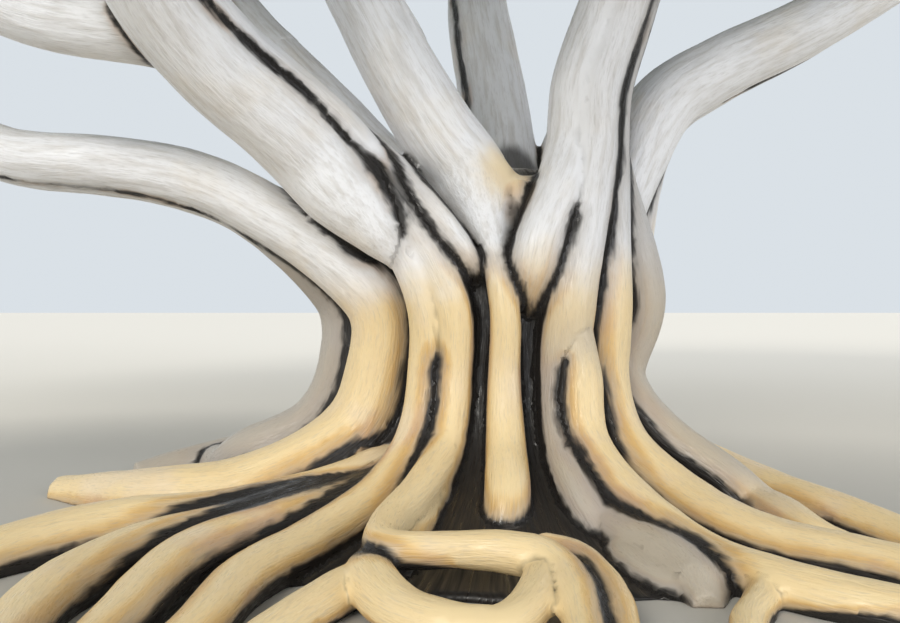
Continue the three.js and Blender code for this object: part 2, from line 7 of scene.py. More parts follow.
import bpy
import numpy as np
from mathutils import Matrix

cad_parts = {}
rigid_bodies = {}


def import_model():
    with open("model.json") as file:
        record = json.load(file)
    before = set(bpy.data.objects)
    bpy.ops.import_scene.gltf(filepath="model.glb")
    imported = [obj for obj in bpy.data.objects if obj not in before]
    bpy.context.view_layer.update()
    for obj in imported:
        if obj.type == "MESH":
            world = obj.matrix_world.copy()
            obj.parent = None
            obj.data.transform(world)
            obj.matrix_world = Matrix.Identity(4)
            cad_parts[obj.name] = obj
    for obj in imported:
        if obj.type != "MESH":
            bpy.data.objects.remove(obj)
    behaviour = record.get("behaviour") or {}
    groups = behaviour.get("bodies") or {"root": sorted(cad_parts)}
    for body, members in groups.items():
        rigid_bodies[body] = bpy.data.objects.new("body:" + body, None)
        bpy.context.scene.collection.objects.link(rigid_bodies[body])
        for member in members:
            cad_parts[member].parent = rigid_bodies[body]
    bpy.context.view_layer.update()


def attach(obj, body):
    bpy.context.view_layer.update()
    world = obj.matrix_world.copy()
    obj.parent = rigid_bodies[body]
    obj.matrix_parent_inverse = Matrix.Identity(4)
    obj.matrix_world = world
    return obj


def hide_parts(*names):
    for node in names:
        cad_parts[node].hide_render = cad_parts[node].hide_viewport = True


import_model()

# The camera stands at eye height in front of the trunk and looks level, so that the
# picture holds the trunk, the lower boughs and the surface roots.
EYE = (-0.45, -7.3, 1.6)
SENSOR = 36.0  # mm, across the picture
LENS = 32.68  # mm

camera = bpy.data.objects.new("camera", bpy.data.cameras.new("camera"))
camera.data.sensor_width = SENSOR
camera.data.lens = LENS
camera.location = EYE
camera.rotation_euler = (math.radians(90), 0, 0)
bpy.context.scene.collection.objects.link(camera)
bpy.context.scene.camera = camera


# The studio: a plain pale floor of matt paint on a wide flat slab, and pale soft light
# all round. Two soft lights come from so low that they reach under the crown.
FLOOR_SIZE = 4000.0
FLOOR_DROP = 0.004  # below the flat cut of the trunk, so that the two never flicker
FLOOR_COLOUR, FLOOR_ROUGHNESS = "#c9c6bf", 0.9
SKY_COLOUR, SKY_LIGHT = "#dfe6ec", 0.95


def linear(hex_colour):
    """An sRGB hex colour as the linear red, green, blue and alpha that a shader takes."""
    values = [int(hex_colour[i:i + 2], 16) / 255 for i in (1, 3, 5)]
    return [v / 12.92 if v <= 0.04045 else ((v + 0.055) / 1.055) ** 2.4 for v in values] + [1.0]


def new_material(name):
    """A material with one shader, and its node tree."""
    material = bpy.data.materials.new(name)
    material.use_nodes = True
    return material, material.node_tree, material.node_tree.nodes["Principled BSDF"]


floor_paint, _, floor_shader = new_material("matt floor paint")
floor_shader.inputs["Base Color"].default_value = linear(FLOOR_COLOUR)
floor_shader.inputs["Roughness"].default_value = FLOOR_ROUGHNESS
bpy.ops.mesh.primitive_plane_add(size=FLOOR_SIZE, location=(0, 0, -FLOOR_DROP))
floor = bpy.context.object
floor.name = "floor"
floor.data.materials.append(floor_paint)

studio = bpy.data.worlds.new("studio")
bpy.context.scene.world = studio
studio.use_nodes = True
studio.node_tree.nodes["Background"].inputs["Color"].default_value = linear(SKY_COLOUR)
studio.node_tree.nodes["Background"].inputs["Strength"].default_value = SKY_LIGHT
bpy.context.scene.view_settings.view_transform = "Standard"


def soft_sun(name, azimuth, elevation, spread_angle, power, colour):
    """Even light from one side. Azimuth 0 is from the front and 90 from the right."""
    lamp = bpy.data.objects.new(name, bpy.data.lights.new(name, "SUN"))
    lamp.data.energy = power
    lamp.data.angle = math.radians(spread_angle)
    lamp.data.color = linear(colour)[:3]
    lamp.rotation_euler = (math.radians(90 - elevation), 0, math.radians(azimuth))
    bpy.context.scene.collection.objects.link(lamp)


soft_sun("key", -26, 30, 26, 1.62, "#fffaf0")
soft_sun("fill", 46, 14, 40, 0.95, "#f6f7ff")
soft_sun("high", 150, 48, 16, 1.6, "#fff8ec")


# The crown's masses of foliage are clumps that each keep to their own egg-shaped space.
# They set where the boughs end, so their places come first, by the tree's own rule:
# a ring of nine outer masses, five upper ones and one at the top.
CROWN_RING, CROWN_RING_HEIGHT = 9.0, 10.6
UPPER_RING, UPPER_RING_HEIGHT = 4.9, 13.3
TOP_RING, TOP_ANGLE, TOP_HEIGHT = 0.2, 60, 14.7
OUTER_HALF = (4.3, 4.2, 2.9)  # outward, across, up
UPPER_HALF = (4.0, 3.9, 2.8)
TOP_HALF = (3.9, 3.9, 2.7)
CELL_GAP = 0.035  # share of a half size that neighbouring masses keep apart
Z_WAY = np.array([0.0, 0.0, 1.0])


def polar(radius, degrees, height):
    angle = math.radians(degrees)
    return np.array([radius * math.cos(angle), radius * math.sin(angle), height])


def heading(degrees, rise):
    """The way that points along a compass angle and rises by some degrees."""
    return polar(math.cos(math.radians(rise)), degrees, math.sin(math.radians(rise)))


def mass_at(name, ring, degrees, height, half):
    axes = np.array([heading(degrees, 0), heading(degrees + 90, 0), Z_WAY])
    middle = polar(ring, degrees, height)
    return {"name": name, "degrees": degrees, "middle": middle, "axes": axes, "half": np.array(half)}


def outer_mass(name, degrees, raised=0.0, further=0.0):
    height = CROWN_RING_HEIGHT + raised
    return mass_at("foliage_" + name, CROWN_RING + further, degrees, height, OUTER_HALF)


def upper_mass(name, degrees, raised=0.0):
    height = UPPER_RING_HEIGHT + raised
    return mass_at("foliage_upper_" + name, UPPER_RING, degrees, height, UPPER_HALF)


MASSES = [
    outer_mass("right", 0, -0.3, 0.2),
    outer_mass("rear_right", 42, 0.3),
    outer_mass("rear", 88, 0.5, -0.2),
    outer_mass("rear_left", 132, 0.3, 0.1),
    outer_mass("left", 174, -1.5, 0.8),
    outer_mass("left_front", 212, -0.1, 0.1),
    outer_mass("front_left", 250, 0.1, -0.4),
    outer_mass("front_right", 290, -0.1, -0.3),
    outer_mass("right_front", 327, -0.2),
    upper_mass("right", 18),
    upper_mass("rear", 90, 0.2),
    upper_mass("left", 160),
    upper_mass("front", 232, 0.1),
    upper_mass("front_right", 304, -0.1),
    mass_at("foliage_top", TOP_RING, TOP_ANGLE, TOP_HEIGHT, TOP_HALF),
]
mass_named = {mass["name"]: mass for mass in MASSES}


def reach_in(mass, points):
    """How far out each point lies in a mass, 1 at its edge."""
    return np.linalg.norm((points - mass["middle"]) @ mass["axes"].T / mass["half"], axis=-1)


def point_in(mass, way, share):
    """The point at a share of the half sizes along a way."""
    step = np.asarray(way) * mass["half"] * np.asarray(share)[..., None]
    return mass["middle"] + step @ mass["axes"]


def in_space(mass, points):
    """Whether each point is inside a mass's edge and nearer to it than to any other."""
    own = reach_in(mass, points)
    others = [reach_in(other, points) for other in MASSES if other is not mass]
    return (own < 1) & (np.min(others, axis=0) > own + CELL_GAP)


# The boughs and limbs: tapering living wood. Each bough runs from its base in the trunk
# through a few places, and over a bend to the underside of its mass of foliage. Each limb
# leaves a bough at a share of its length, for some metres by a compass angle and a rise.
def limb_to(name, mass, **shape):
    """A bough or limb and the mass of foliage that it carries, with its radius at the base
    and at the tip, how far it bends outward, and into which side of the mass it runs."""
    return {"name": name, "mass": mass_named["foliage_" + mass], **shape}


BOUGHS = [
    limb_to("bough_low_left", "left", bend=1.1, radius=(0.29, 0.15), into=(-0.62, 0.05, -0.5),
            places=[(-1.45, -0.36, 2.16), (-2.8, -0.4, 2.76), (-4.3, -0.4, 2.96)]),
    limb_to("bough_high_left", "front_left", bend=0.6, radius=(0.475, 0.18), into=(-0.55, 0, -0.55),
            places=[(-1.02, -0.52, 2.38), (-1.64, -0.8, 2.99), (-2.45, -1.6, 3.77)]),
    limb_to("bough_centre_left", "upper_left", bend=0.3, radius=(0.345, 0.16), into=(-0.15, 0, -0.78),
            places=[(0.06, -0.4, 2.25), (-0.64, -0.57, 3.18), (-1.18, -0.54, 4.17)]),
    limb_to("bough_rear", "rear", bend=0.25, radius=(0.45, 0.17), into=(-0.5, 0, -0.6),
            places=[(0.11, 0.6, 2.5), (0.05, 0.98, 3.55), (-0.13, 1.4, 4.9)]),
    limb_to("bough_centre_right", "upper_front_right", bend=0.3, radius=(0.385, 0.16),
            into=(-0.15, 0, -0.78),
            places=[(0.65, -0.54, 2.35), (0.655, -0.61, 3.37), (0.9, -0.62, 4.16)]),
    limb_to("bough_right", "right", bend=0.7, radius=(0.38, 0.16), into=(-0.6, 0, -0.5),
            places=[(0.8, 0.12, 2.85), (1.88, 0.3, 3.74), (3.41, 0.3, 4.55)]),
    limb_to("bough_rear_left", "rear_left", bend=0.5, radius=(0.37, 0.16), into=(-0.55, 0, -0.55),
            places=[(-0.56, 0.56, 2.4), (-1.3, 1.05, 3.3), (-2.9, 2.05, 5.15)]),
    limb_to("bough_rear_right", "rear_right", bend=0.6, radius=(0.35, 0.16), into=(-0.55, 0, -0.55),
            places=[(0.52, 0.64, 2.48), (0.95, 1.15, 3.6), (1.4, 1.65, 5.0)]),
]
LIMBS = [
    limb_to("limb_left", "left_front", parent="bough_high_left", at=0.215, way=(188, 12), leave=1.5,
            bend=0.7, radius=(0.26, 0.12), into=(-0.6, 0, -0.5)),
    limb_to("limb_upper_front", "upper_front", parent="bough_high_left", at=0.4, way=(225, 55),
            leave=1.1, bend=0.15, radius=(0.21, 0.12), into=(-0.1, 0, -0.78)),
    limb_to("limb_top", "top", parent="bough_centre_left", at=0.34, way=(35, 66), leave=1.5, bend=0.0,
            radius=(0.21, 0.12), into=(0, 0, -0.78)),
    limb_to("limb_upper_rear", "upper_rear", parent="bough_rear", at=0.4, way=(75, 70), leave=1.3,
            bend=0.0, radius=(0.23, 0.12), into=(-0.1, 0, -0.78)),
    limb_to("limb_upper_right", "upper_right", parent="bough_rear_right", at=0.34, way=(0, 62),
            leave=1.3, bend=0.2, radius=(0.21, 0.12), into=(-0.1, 0, -0.78)),
    limb_to("limb_front_right", "front_right", parent="bough_centre_right", at=0.34, way=(286, 40),
            leave=1.2, bend=0.5, radius=(0.22, 0.12), into=(-0.6, 0, -0.5)),
    limb_to("limb_right_front", "right_front", parent="bough_right", at=0.4, way=(318, 30), leave=1.1,
            bend=0.5, radius=(0.22, 0.12), into=(-0.6, 0, -0.5)),
]
CURVE_STEPS = 24  # between two knots, before the points are spread evenly
LINE_POINTS = 161  # along each line
TAPER = 0.85  # power of the share along a limb by which it thins out
BEND_RISE = -45  # degrees, as a bend points outward and down


def mix(low, high, share):
    return low + (high - low) * share


def smooth(value, low, high):
    """0 below low, 1 above high, and a smooth rise between."""
    share = np.clip((value - low) / (high - low), 0, 1)
    return share * share * (3 - 2 * share)


def unit(ways):
    return ways / np.maximum(np.linalg.norm(ways, axis=-1, keepdims=True), 1e-9)


def distances(line):
    """Metres along a line to each of its points."""
    return np.concatenate([[0], np.cumsum(np.linalg.norm(np.diff(line, axis=0), axis=1))])


def spaced(line, count):
    """The same line, with its points spread evenly along it."""
    along = distances(line)
    at = np.linspace(0, along[-1], count)
    return np.column_stack([np.interp(at, along, line[:, k]) for k in range(3)])


def curve_through(knots, count=LINE_POINTS):
    """Points spread evenly along a centripetal Catmull-Rom curve through the knots."""
    knots = np.array(knots, float)
    knots = np.vstack([2 * knots[0] - knots[1], knots, 2 * knots[-1] - knots[-2]])
    t = np.linspace(0, 1, CURVE_STEPS, endpoint=False)[:, None]
    pieces = []
    for x0, x1, x2, x3 in zip(knots, knots[1:], knots[2:], knots[3:]):
        d0, d1, d2 = (np.linalg.norm(b - a) ** 0.5 for a, b in ((x0, x1), (x1, x2), (x2, x3)))
        t1 = ((x1 - x0) / d0 - (x2 - x0) / (d0 + d1) + (x2 - x1) / d1) * d1
        t2 = ((x2 - x1) / d1 - (x3 - x1) / (d1 + d2) + (x3 - x2) / d2) * d1
        bends = -3 * x1 + 3 * x2 - 2 * t1 - t2, 2 * x1 - 2 * x2 + t1 + t2
        pieces.append(x1 + t1 * t + bends[0] * t ** 2 + bends[1] * t ** 3)
    return spaced(np.vstack([*pieces, knots[-2:-1]]), count)


def line_length(line):
    return np.linalg.norm(np.diff(line, axis=0), axis=1).sum()


def curve_length(knots):
    return line_length(curve_through(knots))


def line_at(line, share):
    """The point at a share of an evenly spaced line, and the way it runs there."""
    at = share * (len(line) - 1)
    low = min(int(at), len(line) - 2)
    return mix(line[low], line[low + 1], at - low), unit(line[low + 1] - line[low])


def growth_line(limb):
    """The middle line of a bough or limb, through its places and over a bend to its mass."""
    tip = point_in(limb["mass"], limb["into"], 1.0)
    halfway = mix(np.array(limb["places"][-1]), tip, 0.5)
    bend = halfway + heading(limb["mass"]["degrees"], BEND_RISE) * limb["bend"]
    return curve_through([*limb["places"], bend, tip])


for bough in BOUGHS:
    bough["line"] = growth_line(bough)
bough_named = {bough["name"]: bough for bough in BOUGHS}
for limb in LIMBS:
    base, _ = line_at(bough_named[limb["parent"]]["line"], limb["at"])
    limb["places"] = [base, base + heading(*limb["way"]) * limb["leave"]]
    limb["line"] = growth_line(limb)
for limb in BOUGHS + LIMBS:
    limb["length"] = line_length(limb["line"])


def taper_of(limb, shares):
    return mix(limb["radius"][0], limb["radius"][1], shares ** TAPER)


# The trunk is a bundle of aerial roots that reached the ground, thickened and fused round
# a solid heart. Each stem is one such strand: it starts high on its bough as one of the
# bough's own ridges, runs through the waist, over the flare and out along the ground.
WAIST_HEIGHT, WAIST_RING = 1.7, 1.08
FLARE = [(1.0, 1.05), (1.18, 0.6), (1.62, 0.28)]  # share of the waist ring, height
FOOT_TURN = (0, 0.35, 0.75, 1)  # how far a stem has swung to its foot's angle there
ROOT_LIE = 0.11  # height of a root's middle near the trunk
ROOT_SINK = 0.9  # share of that height by which its tip lies lower
TIP_RADIUS = 0.045
THINNING = 1.7  # how many root lengths a root would take to thin out to its tip
GROUND_KNOTS = 4
ROOT_SWAY = 2.0  # degrees either way
STEM_NARROWS = (1.3, 0.0)  # metres above the waist over which a stem takes on its girth


def climber(bough, flank, stout, off, **shape):
    """A strand that starts as a ridge of a bough. flank: where on the bough it lies, in
    degrees from the side that faces front. stout: its radius there, and off: how far its
    middle lies from the bough's, both in shares of the bough's radius."""
    return {"bough": bough_named["bough_" + bough], "flank": flank, "stout": stout, "off": off, **shape}


# around and girth: a stem's angle and radius at the waist. foot and foot_girth: the same at
# the foot of the flare. turn and bow: how far its root swings round the trunk at its tip and
# halfway. reach: from the axis to the tip. ring, flare and pinch: how far out it lies as a
# whole, how much of the flare it follows, and its share at the flare's top. lie and narrows:
# its own values for ROOT_LIE and STEM_NARROWS. For the rest see bundle_part.
STEMS = [
    climber("low_left", 12, 0.9, 0.12, around=200, girth=0.335, turn=-16, bow=2, reach=3.85,
            shade=-0.35),
    climber("low_left", -120, 0.62, 0.4, around=178, girth=0.27, turn=-22, reach=3.4, ring=1.28,
            tone=1.0),
    climber("high_left", 50, 0.44, 0.58, around=235, foot=237.5, girth=0.19, turn=7, reach=4.6),
    climber("high_left", 62, 0.42, 0.6, around=245.5, foot=248.5, girth=0.165, foot_girth=0.15, turn=3,
            bow=1, reach=4.7),
    climber("centre_left", 5, 1.0, 0.12, around=268, girth=0.125, foot_girth=0.165, turn=1, reach=2.2,
            lie=-0.05, flare=0.9, narrows=(1.05, 0.3)),
    climber("centre_right", 15, 0.7, 0.34, around=296, foot=285.5, girth=0.22, foot_girth=0.15, turn=3,
            reach=3.0, lie=0.05, tone=0.8, high_tone=0.35, tone_fall=(1.0, 1.7)),
    climber("centre_right", 90, 0.68, 0.42, around=319, foot=312.5, girth=0.205, turn=9.5, bow=-9,
            reach=4.7, tone=0.1, high_tone=0.5),
    climber("centre_right", 100, 0.55, 0.58, around=346, foot=334, girth=0.25, foot_girth=0.19,
            turn=-14, reach=2.9, ring=1.09, pinch=0.88, high_tone=0.75, tone_fall=(0.08, 0.4)),
    climber("right", 130, 0.66, 0.36, around=10, girth=0.29, foot_girth=0.21, turn=-50, bow=-12,
            reach=3.7, shade=-2),
    climber("rear_right", 130, 0.7, 0.35, around=43, girth=0.32, turn=8, reach=3.3),
    climber("rear", 150, 0.66, 0.4, around=76, girth=0.33, turn=6, bow=4, reach=4.8),
    climber("rear", 220, 0.66, 0.4, around=107, girth=0.32, turn=-4, bow=-5, reach=4.5),
    climber("rear_left", 160, 0.66, 0.38, around=137, girth=0.32, turn=-6, reach=3.5),
    climber("rear_left", 250, 0.66, 0.38, around=158, girth=0.33, turn=12, reach=3.5, ring=1.12,
            tone=0.9),
]
CLIMB = (1.0, 0.78, 0.56, 0.36, 0.2)  # shares of a bough's lower stretch
TWIST = 60  # degrees per bough length that the strands wind round it
# The lower stretch of a bough ends a little past where the picture ends, in metres.
LOWER_LENGTH = {"bough_low_left": 3.6, "bough_high_left": 3.1, "bough_right": 4.4}
LOWER_LENGTH_ELSE = 2.9
for bough in BOUGHS:
    bough["lower"] = LOWER_LENGTH.get(bough["name"], LOWER_LENGTH_ELSE)


def ground_knots(root, start):
    """The knots of a root along the ground, from the end of the flare to its tip."""
    knots = []
    foot = root.get("foot", root["around"])
    for i in range(1, GROUND_KNOTS + 1):
        share = i / GROUND_KNOTS
        swing = root["turn"] * share + root.get("bow", 0) * math.sin(math.pi * share)
        sway = ROOT_SWAY * math.sin(2 * math.pi * share + root["around"])
        height = root.get("lie", ROOT_LIE) * (1 - ROOT_SINK * share * share)
        knots.append(polar(mix(start, root["reach"], share), foot + swing + sway, height))
    return knots


def beside(bough, share, ridge):
    """A point of a ridge that winds round a bough, beside the bough's middle line."""
    place, along = line_at(bough["line"], share)
    front = np.array([0.0, -1.0, 0.0])
    front = unit(front - along * (front @ along))
    side = np.cross(along, front)
    angle = math.radians(ridge["flank"] + TWIST * share)
    radius = taper_of(bough, np.array(share))
    return place + (front * math.cos(angle) + side * math.sin(angle)) * radius * ridge["off"]


def climb_knots(ridge):
    """The knots of a ridge down the lower stretch of its bough, and its radius there."""
    bough = ridge["bough"]
    shares = np.array(CLIMB) * bough["lower"] / bough["length"]
    knots = [beside(bough, share, ridge) for share in shares]
    return knots, taper_of(bough, shares[[0, -1]]) * ridge["stout"]


def flare_knots(stem):
    """The knots of a stem from the waist to the end of the flare."""
    ring = WAIST_RING * stem.get("ring", 1)
    spread_out = [(1.0, WAIST_HEIGHT), *FLARE]
    reach = [ring * mix(1, share, stem.get("flare", 1)) for share, _ in spread_out]
    reach[1] *= stem.get("pinch", 1)
    angles = [mix(stem["around"], stem.get("foot", stem["around"]), share) for share in FOOT_TURN]
    knots = [polar(*knot) for knot in zip(reach, angles, (height for _, height in spread_out))]
    return knots, reach[-1]


FULL_OFF = 0.45  # how far out on its bough, in shares, a strand must lie for painted shade on its flanks
OFF_GROUND = (0.2, 0.75)  # heights over which a root rises out of the ground into a stem
ON_BOUGH = (0.1, 0.7)  # heights above a bough's base over which a stem goes over into its ridge


def outward_ways(line, bough):
    """The way that faces out of the bundle along a strand: away from the bough's middle
    line, then away from the trunk's axis, then up where it lies on the ground."""
    low = smooth(line[:, 2], *OFF_GROUND)[:, None]
    away = line * [1, 1, 0]
    ways = unit(unit(away) * low + Z_WAY * (1 - low))
    if bough is None:
        return ways
    nearest = np.linalg.norm(line[:, None] - bough["line"][None], axis=2).argmin(1)
    base = bough["places"][0][2]
    high = smooth(line[:, 2], base + ON_BOUGH[0], base + ON_BOUGH[1])[:, None]
    off = (line - bough["line"][nearest]) / taper_of(bough, nearest / (len(bough["line"]) - 1))[:, None]
    return ways * (1 - high) + off / FULL_OFF * high


SIDE_DARK = -0.05  # how little a strand's side may face out before it gets charcoal painted shade
TONE_FALL = (1.7, 2.4)  # heights over which a strand's lower tone gives way to its upper one


def bundle_part(name, line, along, radius, looks=None, out=None, soft=False):
    """A line with its radius and the metres along it at each of its points. looks may hold
    how much grey painted shade it bears low down as tone and higher up as high_tone, and its
    own values for TONE_FALL as tone_fall and SIDE_DARK as shade. A soft part leaves no crease
    where it meets another."""
    looks = looks or {}
    return {"name": name, "line": line, "along": along, "radius": radius,
            "tones": (looks.get("tone", 0.0), looks.get("high_tone", 0.0)),
            "tone_fall": looks.get("tone_fall", TONE_FALL), "shade": looks.get("shade", SIDE_DARK),
            "out": out, "soft": soft}


def strand(name, knots, radius_at, looks=None, bough=None):
    """A strand through its knots. radius_at takes metres along it."""
    line = curve_through(knots)
    along = np.linspace(0, line_length(line), len(line))
    return bundle_part(name, line, along, radius_at(along), looks, outward_ways(line, bough))


def stem_strand(stem, index):
    climb, (top, base) = climb_knots(stem)
    flare, foot = flare_knots(stem)
    knots = [*climb, *flare, *ground_knots(stem, foot)]
    total, to_base = curve_length(knots), curve_length(climb)
    to_waist, to_foot = curve_length([*climb, flare[0]]), curve_length([*climb, *flare])

    def radius_at(along):
        on_bough = np.interp(along, [0, to_base], [top, base])
        high, low = stem.get("narrows", STEM_NARROWS)
        narrowing = mix(on_bough, stem["girth"], smooth(along, to_waist - high, to_waist - low))
        foot_girth = stem.get("foot_girth", stem["girth"])
        narrowing = mix(narrowing, foot_girth, smooth(along, to_waist, to_foot))
        thin = smooth(along, to_foot, to_foot + THINNING * (total - to_foot))
        return mix(narrowing, TIP_RADIUS, thin)

    return strand(f"stem_{index}", knots, radius_at, stem, stem["bough"])


# Roots that leave the flare between two stems, and roots that loop across in front of the
# trunk, partly clear of the ground. A side root starts inside the flare, or higher up where
# it has a top, with knots by share of the waist ring, share of the turn to its foot, height.
SIDE_ROOT_START = [(0.7, 0, 0.62), (1.3, 0, 0.26)]
TALL_ROOT_START = [(1.08, 0.1, 1.55), (1.14, 0.3, 1.15), (1.29, 0.7, 0.62)]
SIDE_ROOT_SWELLS = 0.7  # metres over which a side root swells out of the trunk
SIDE_ROOT_THINS = 0.3  # share of its length at which it starts to thin out


def side_root(around, girth, turn, bow, reach, **shape):
    return {"around": around, "girth": girth, "turn": turn, "bow": bow, "reach": reach, **shape}


SIDE_ROOTS = [
    side_root(221, 0.25, 0, -7, 4.8),
    side_root(221, 0.23, 17, -5, 4.7),
    side_root(229, 0.22, 14, -4, 4.7),
    side_root(297, 0.18, 14.5, -1.2, 4.6, foot=292.5, top=2.05, swells=1.15, high_tone=0.7,
              tone_fall=(0.9, 1.5)),
    side_root(27, 0.22, -4, 5, 2.75),
    side_root(61, 0.21, 5, -5, 4.2),
    side_root(92, 0.22, 4, 4, 4.9),
    side_root(122, 0.21, 0, -5, 4.3),
    side_root(151, 0.22, 3, 4, 3.0),
]
LOOP_ROOTS = [  # distance from the axis, angle, height, radius
    {"knots": [(1.05, 246.5, 1.1, 0.13), (1.24, 247.5, 0.64, 0.145), (1.85, 249.5, 0.4, 0.13),
               (2.5, 250.5, 0.3, 0.12), (2.83, 253.5, 0.27, 0.11), (2.79, 262, 0.27, 0.1),
               (2.8, 267, 0.27, 0.115), (2.83, 271, 0.24, 0.125), (2.96, 272.8, 0.2, 0.12),
               (3.23, 273.3, 0.16, 0.11), (3.49, 273, 0.11, 0.1), (4.3, 272, 0.02, 0.05)],
     "shade": -0.5},
    {"knots": [(2.75, 250, 0.12, 0.1), (3.06, 253.5, 0.16, 0.135), (3.38, 258.5, 0.13, 0.13),
               (3.52, 264, 0.12, 0.12), (3.5, 266.5, 0.12, 0.115)], "shade": -0.3},
    {"knots": [(2.47, 272, 0.22, 0.08), (2.64, 275.8, 0.2, 0.09), (2.94, 276.8, 0.17, 0.095),
               (3.24, 276.7, 0.13, 0.095), (3.54, 275.8, 0.08, 0.085), (4.1, 275, 0.02, 0.045)]},
    {"knots": [(2.82, 299.5, 0.06, 0.09), (3.05, 295.3, 0.06, 0.105), (3.22, 291.6, 0.05, 0.105),
               (3.38, 288, 0.03, 0.1), (3.7, 284.5, 0, 0.06)]},
    {"knots": [(3.52, 263, 0.12, 0.115), (3.5, 266.5, 0.12, 0.12), (3.22, 269.3, 0.15, 0.12),
               (2.98, 270.6, 0.18, 0.11)]},
    {"knots": [(1.3, 289, 0.42, 0.11), (1.65, 288.8, 0.23, 0.15), (2.1, 289.8, 0.11, 0.18),
               (2.5, 290.6, 0.06, 0.2), (2.85, 289.6, 0.02, 0.18), (3.05, 288, -0.02, 0.1)],
     "tone": 0.8},
]


def side_root_strand(root, index):
    around = root["around"]
    start = [(1.0, 0, root["top"]), *TALL_ROOT_START] if "top" in root else SIDE_ROOT_START
    knots = [polar(WAIST_RING * share, mix(around, root.get("foot", around), turned), height)
             for share, turned, height in start]
    knots += ground_knots(root, WAIST_RING * FLARE[-1][0])
    total = curve_length(knots)

    def radius_at(along):
        thinning = mix(root["girth"], TIP_RADIUS, smooth(along / total, SIDE_ROOT_THINS, THINNING))
        return mix(TIP_RADIUS, thinning, smooth(along, 0, root.get("swells", SIDE_ROOT_SWELLS)))

    return strand(f"side_root_{index}", knots, radius_at, root)


def loop_root_strand(root, index):
    knots = np.array(root["knots"])
    line = np.array([polar(*knot[:3]) for knot in knots])
    total, at = curve_length(line), distances(line)
    return strand(f"loop_root_{index}", line,
                  lambda along: np.interp(along / total, at / at[-1], knots[:, 3]), root)


# Ridges are aerial roots that have fused with a bough and never reached the ground. They run
# down it and die out in a groove near the waist, or sink back into the wood.
RIDGE_RING = 0.98  # share of the waist ring
RIDGE_ON_RING = 0.35  # metres above the waist, where a ridge is on its ring
RIDGE_DIVES = 0.28  # share of the waist ring by which its end lies deeper
RIDGE_NARROWS = (2.0, 0.9)  # metres before its end over which it takes on its girth
RIDGE_END = 0.8  # metres over which it dies out
RIDGES = [
    climber("high_left", 108, 0.42, 0.64, around=251.8, girth=0.11, ends=1.65, narrows=(1.6, 0.5)),
    climber("high_left", -18, 0.84, 0.2, around=226, girth=0.13, ends=1.55, narrows=(1.4, 0.3),
            ring=1.1),
    climber("centre_right", -40, 0.64, 0.4, around=281.5, girth=0.2, ends=1.3, high_tone=0.2),
    climber("right", -20, 0.88, 0.14, around=352, girth=0.24, ends=1.5, ring=0.8, shade=-2),
    climber("rear_right", 300, 0.66, 0.4, around=60, girth=0.2, ends=1.4),
    climber("centre_left", 60, 0.6, 0.5, sinks=0.3),
]


def ridge_strand(ridge, index):
    climb, (top, base) = climb_knots(ridge)
    bough = ridge["bough"]
    if "sinks" in ridge:
        place, _ = line_at(bough["line"], ridge["sinks"] * bough["lower"] / bough["length"])
        knots = [*climb[:3], place]
        total = curve_length(knots)
        return strand(f"ridge_{index}", knots,
                      lambda along: mix(top, TIP_RADIUS, smooth(along / total, 0.5, 1)), ridge, bough)
    ring = WAIST_RING * ridge.get("ring", RIDGE_RING)
    knots = [*climb, polar(ring, ridge["around"], WAIST_HEIGHT + RIDGE_ON_RING),
             polar(ring - WAIST_RING * RIDGE_DIVES, ridge["around"], ridge["ends"])]
    total, to_base = curve_length(knots), curve_length(climb)

    def radius_at(along):
        on_bough = np.interp(along, [0, to_base], [top, base])
        high, low = ridge.get("narrows", RIDGE_NARROWS)
        narrowing = mix(on_bough, ridge["girth"], smooth(along, total - high, total - low))
        return mix(narrowing, TIP_RADIUS, smooth(along, total - RIDGE_END, total))

    return strand(f"ridge_{index}", knots, radius_at, ridge, bough)


# The solid heart spreads at its foot into the low plate that the roots stand on. The rim
# of the fork is a short strand that crosses between the two centre boughs, and a second
# one runs down from it.
HEART_KNOTS = [(2.9, 0.0), (2.5, 0.05), (2.0, 0.14), (1.5, 0.34), (1.2, 0.58), (1.03, 0.9),
               (0.96, 1.7), (0.8, 2.45), (0.5, 2.8)]  # radius, height
HEART_PROFILE = curve_through([(radius, 0, height) for radius, height in HEART_KNOTS], 41)[:, [0, 2]]
FORK_STRANDS = [
    {"knots": [(-0.42, -0.56, 3.12), (-0.19, -0.62, 2.82), (0.04, -0.64, 2.56),
               (0.26, -0.58, 2.56), (0.48, -0.48, 2.7)], "girth": 0.17},
    {"knots": [(0.1, -0.68, 2.62), (0.12, -0.77, 2.36), (0.07, -0.86, 2.08), (0.02, -0.95, 1.8)],
     "girth": 0.135},
]
# Strands that have grown into one, and the height above which no crease parts them.
JOINS = [("stem_2", "stem_3", 1.35), ("stem_2", "loop_root_0", 1.35), ("stem_3", "loop_root_0", 0.2),
         ("stem_3", "loop_root_1", -1), ("loop_root_1", "loop_root_4", -1),
         ("loop_root_0", "loop_root_4", -1), ("stem_4", "fork_0", 0), ("stem_4", "fork_1", 0),
         ("fork_0", "fork_1", 0), ("stem_5", "side_root_3", 1.25), ("stem_5", "ridge_2", 2.42),
         ("stem_5", "loop_root_5", -1), ("side_root_3", "loop_root_3", -1),
         ("side_root_0", "side_root_1", 0.35), ("side_root_1", "side_root_2", 0.4),
         ("side_root_0", "side_root_2", 0.4)]
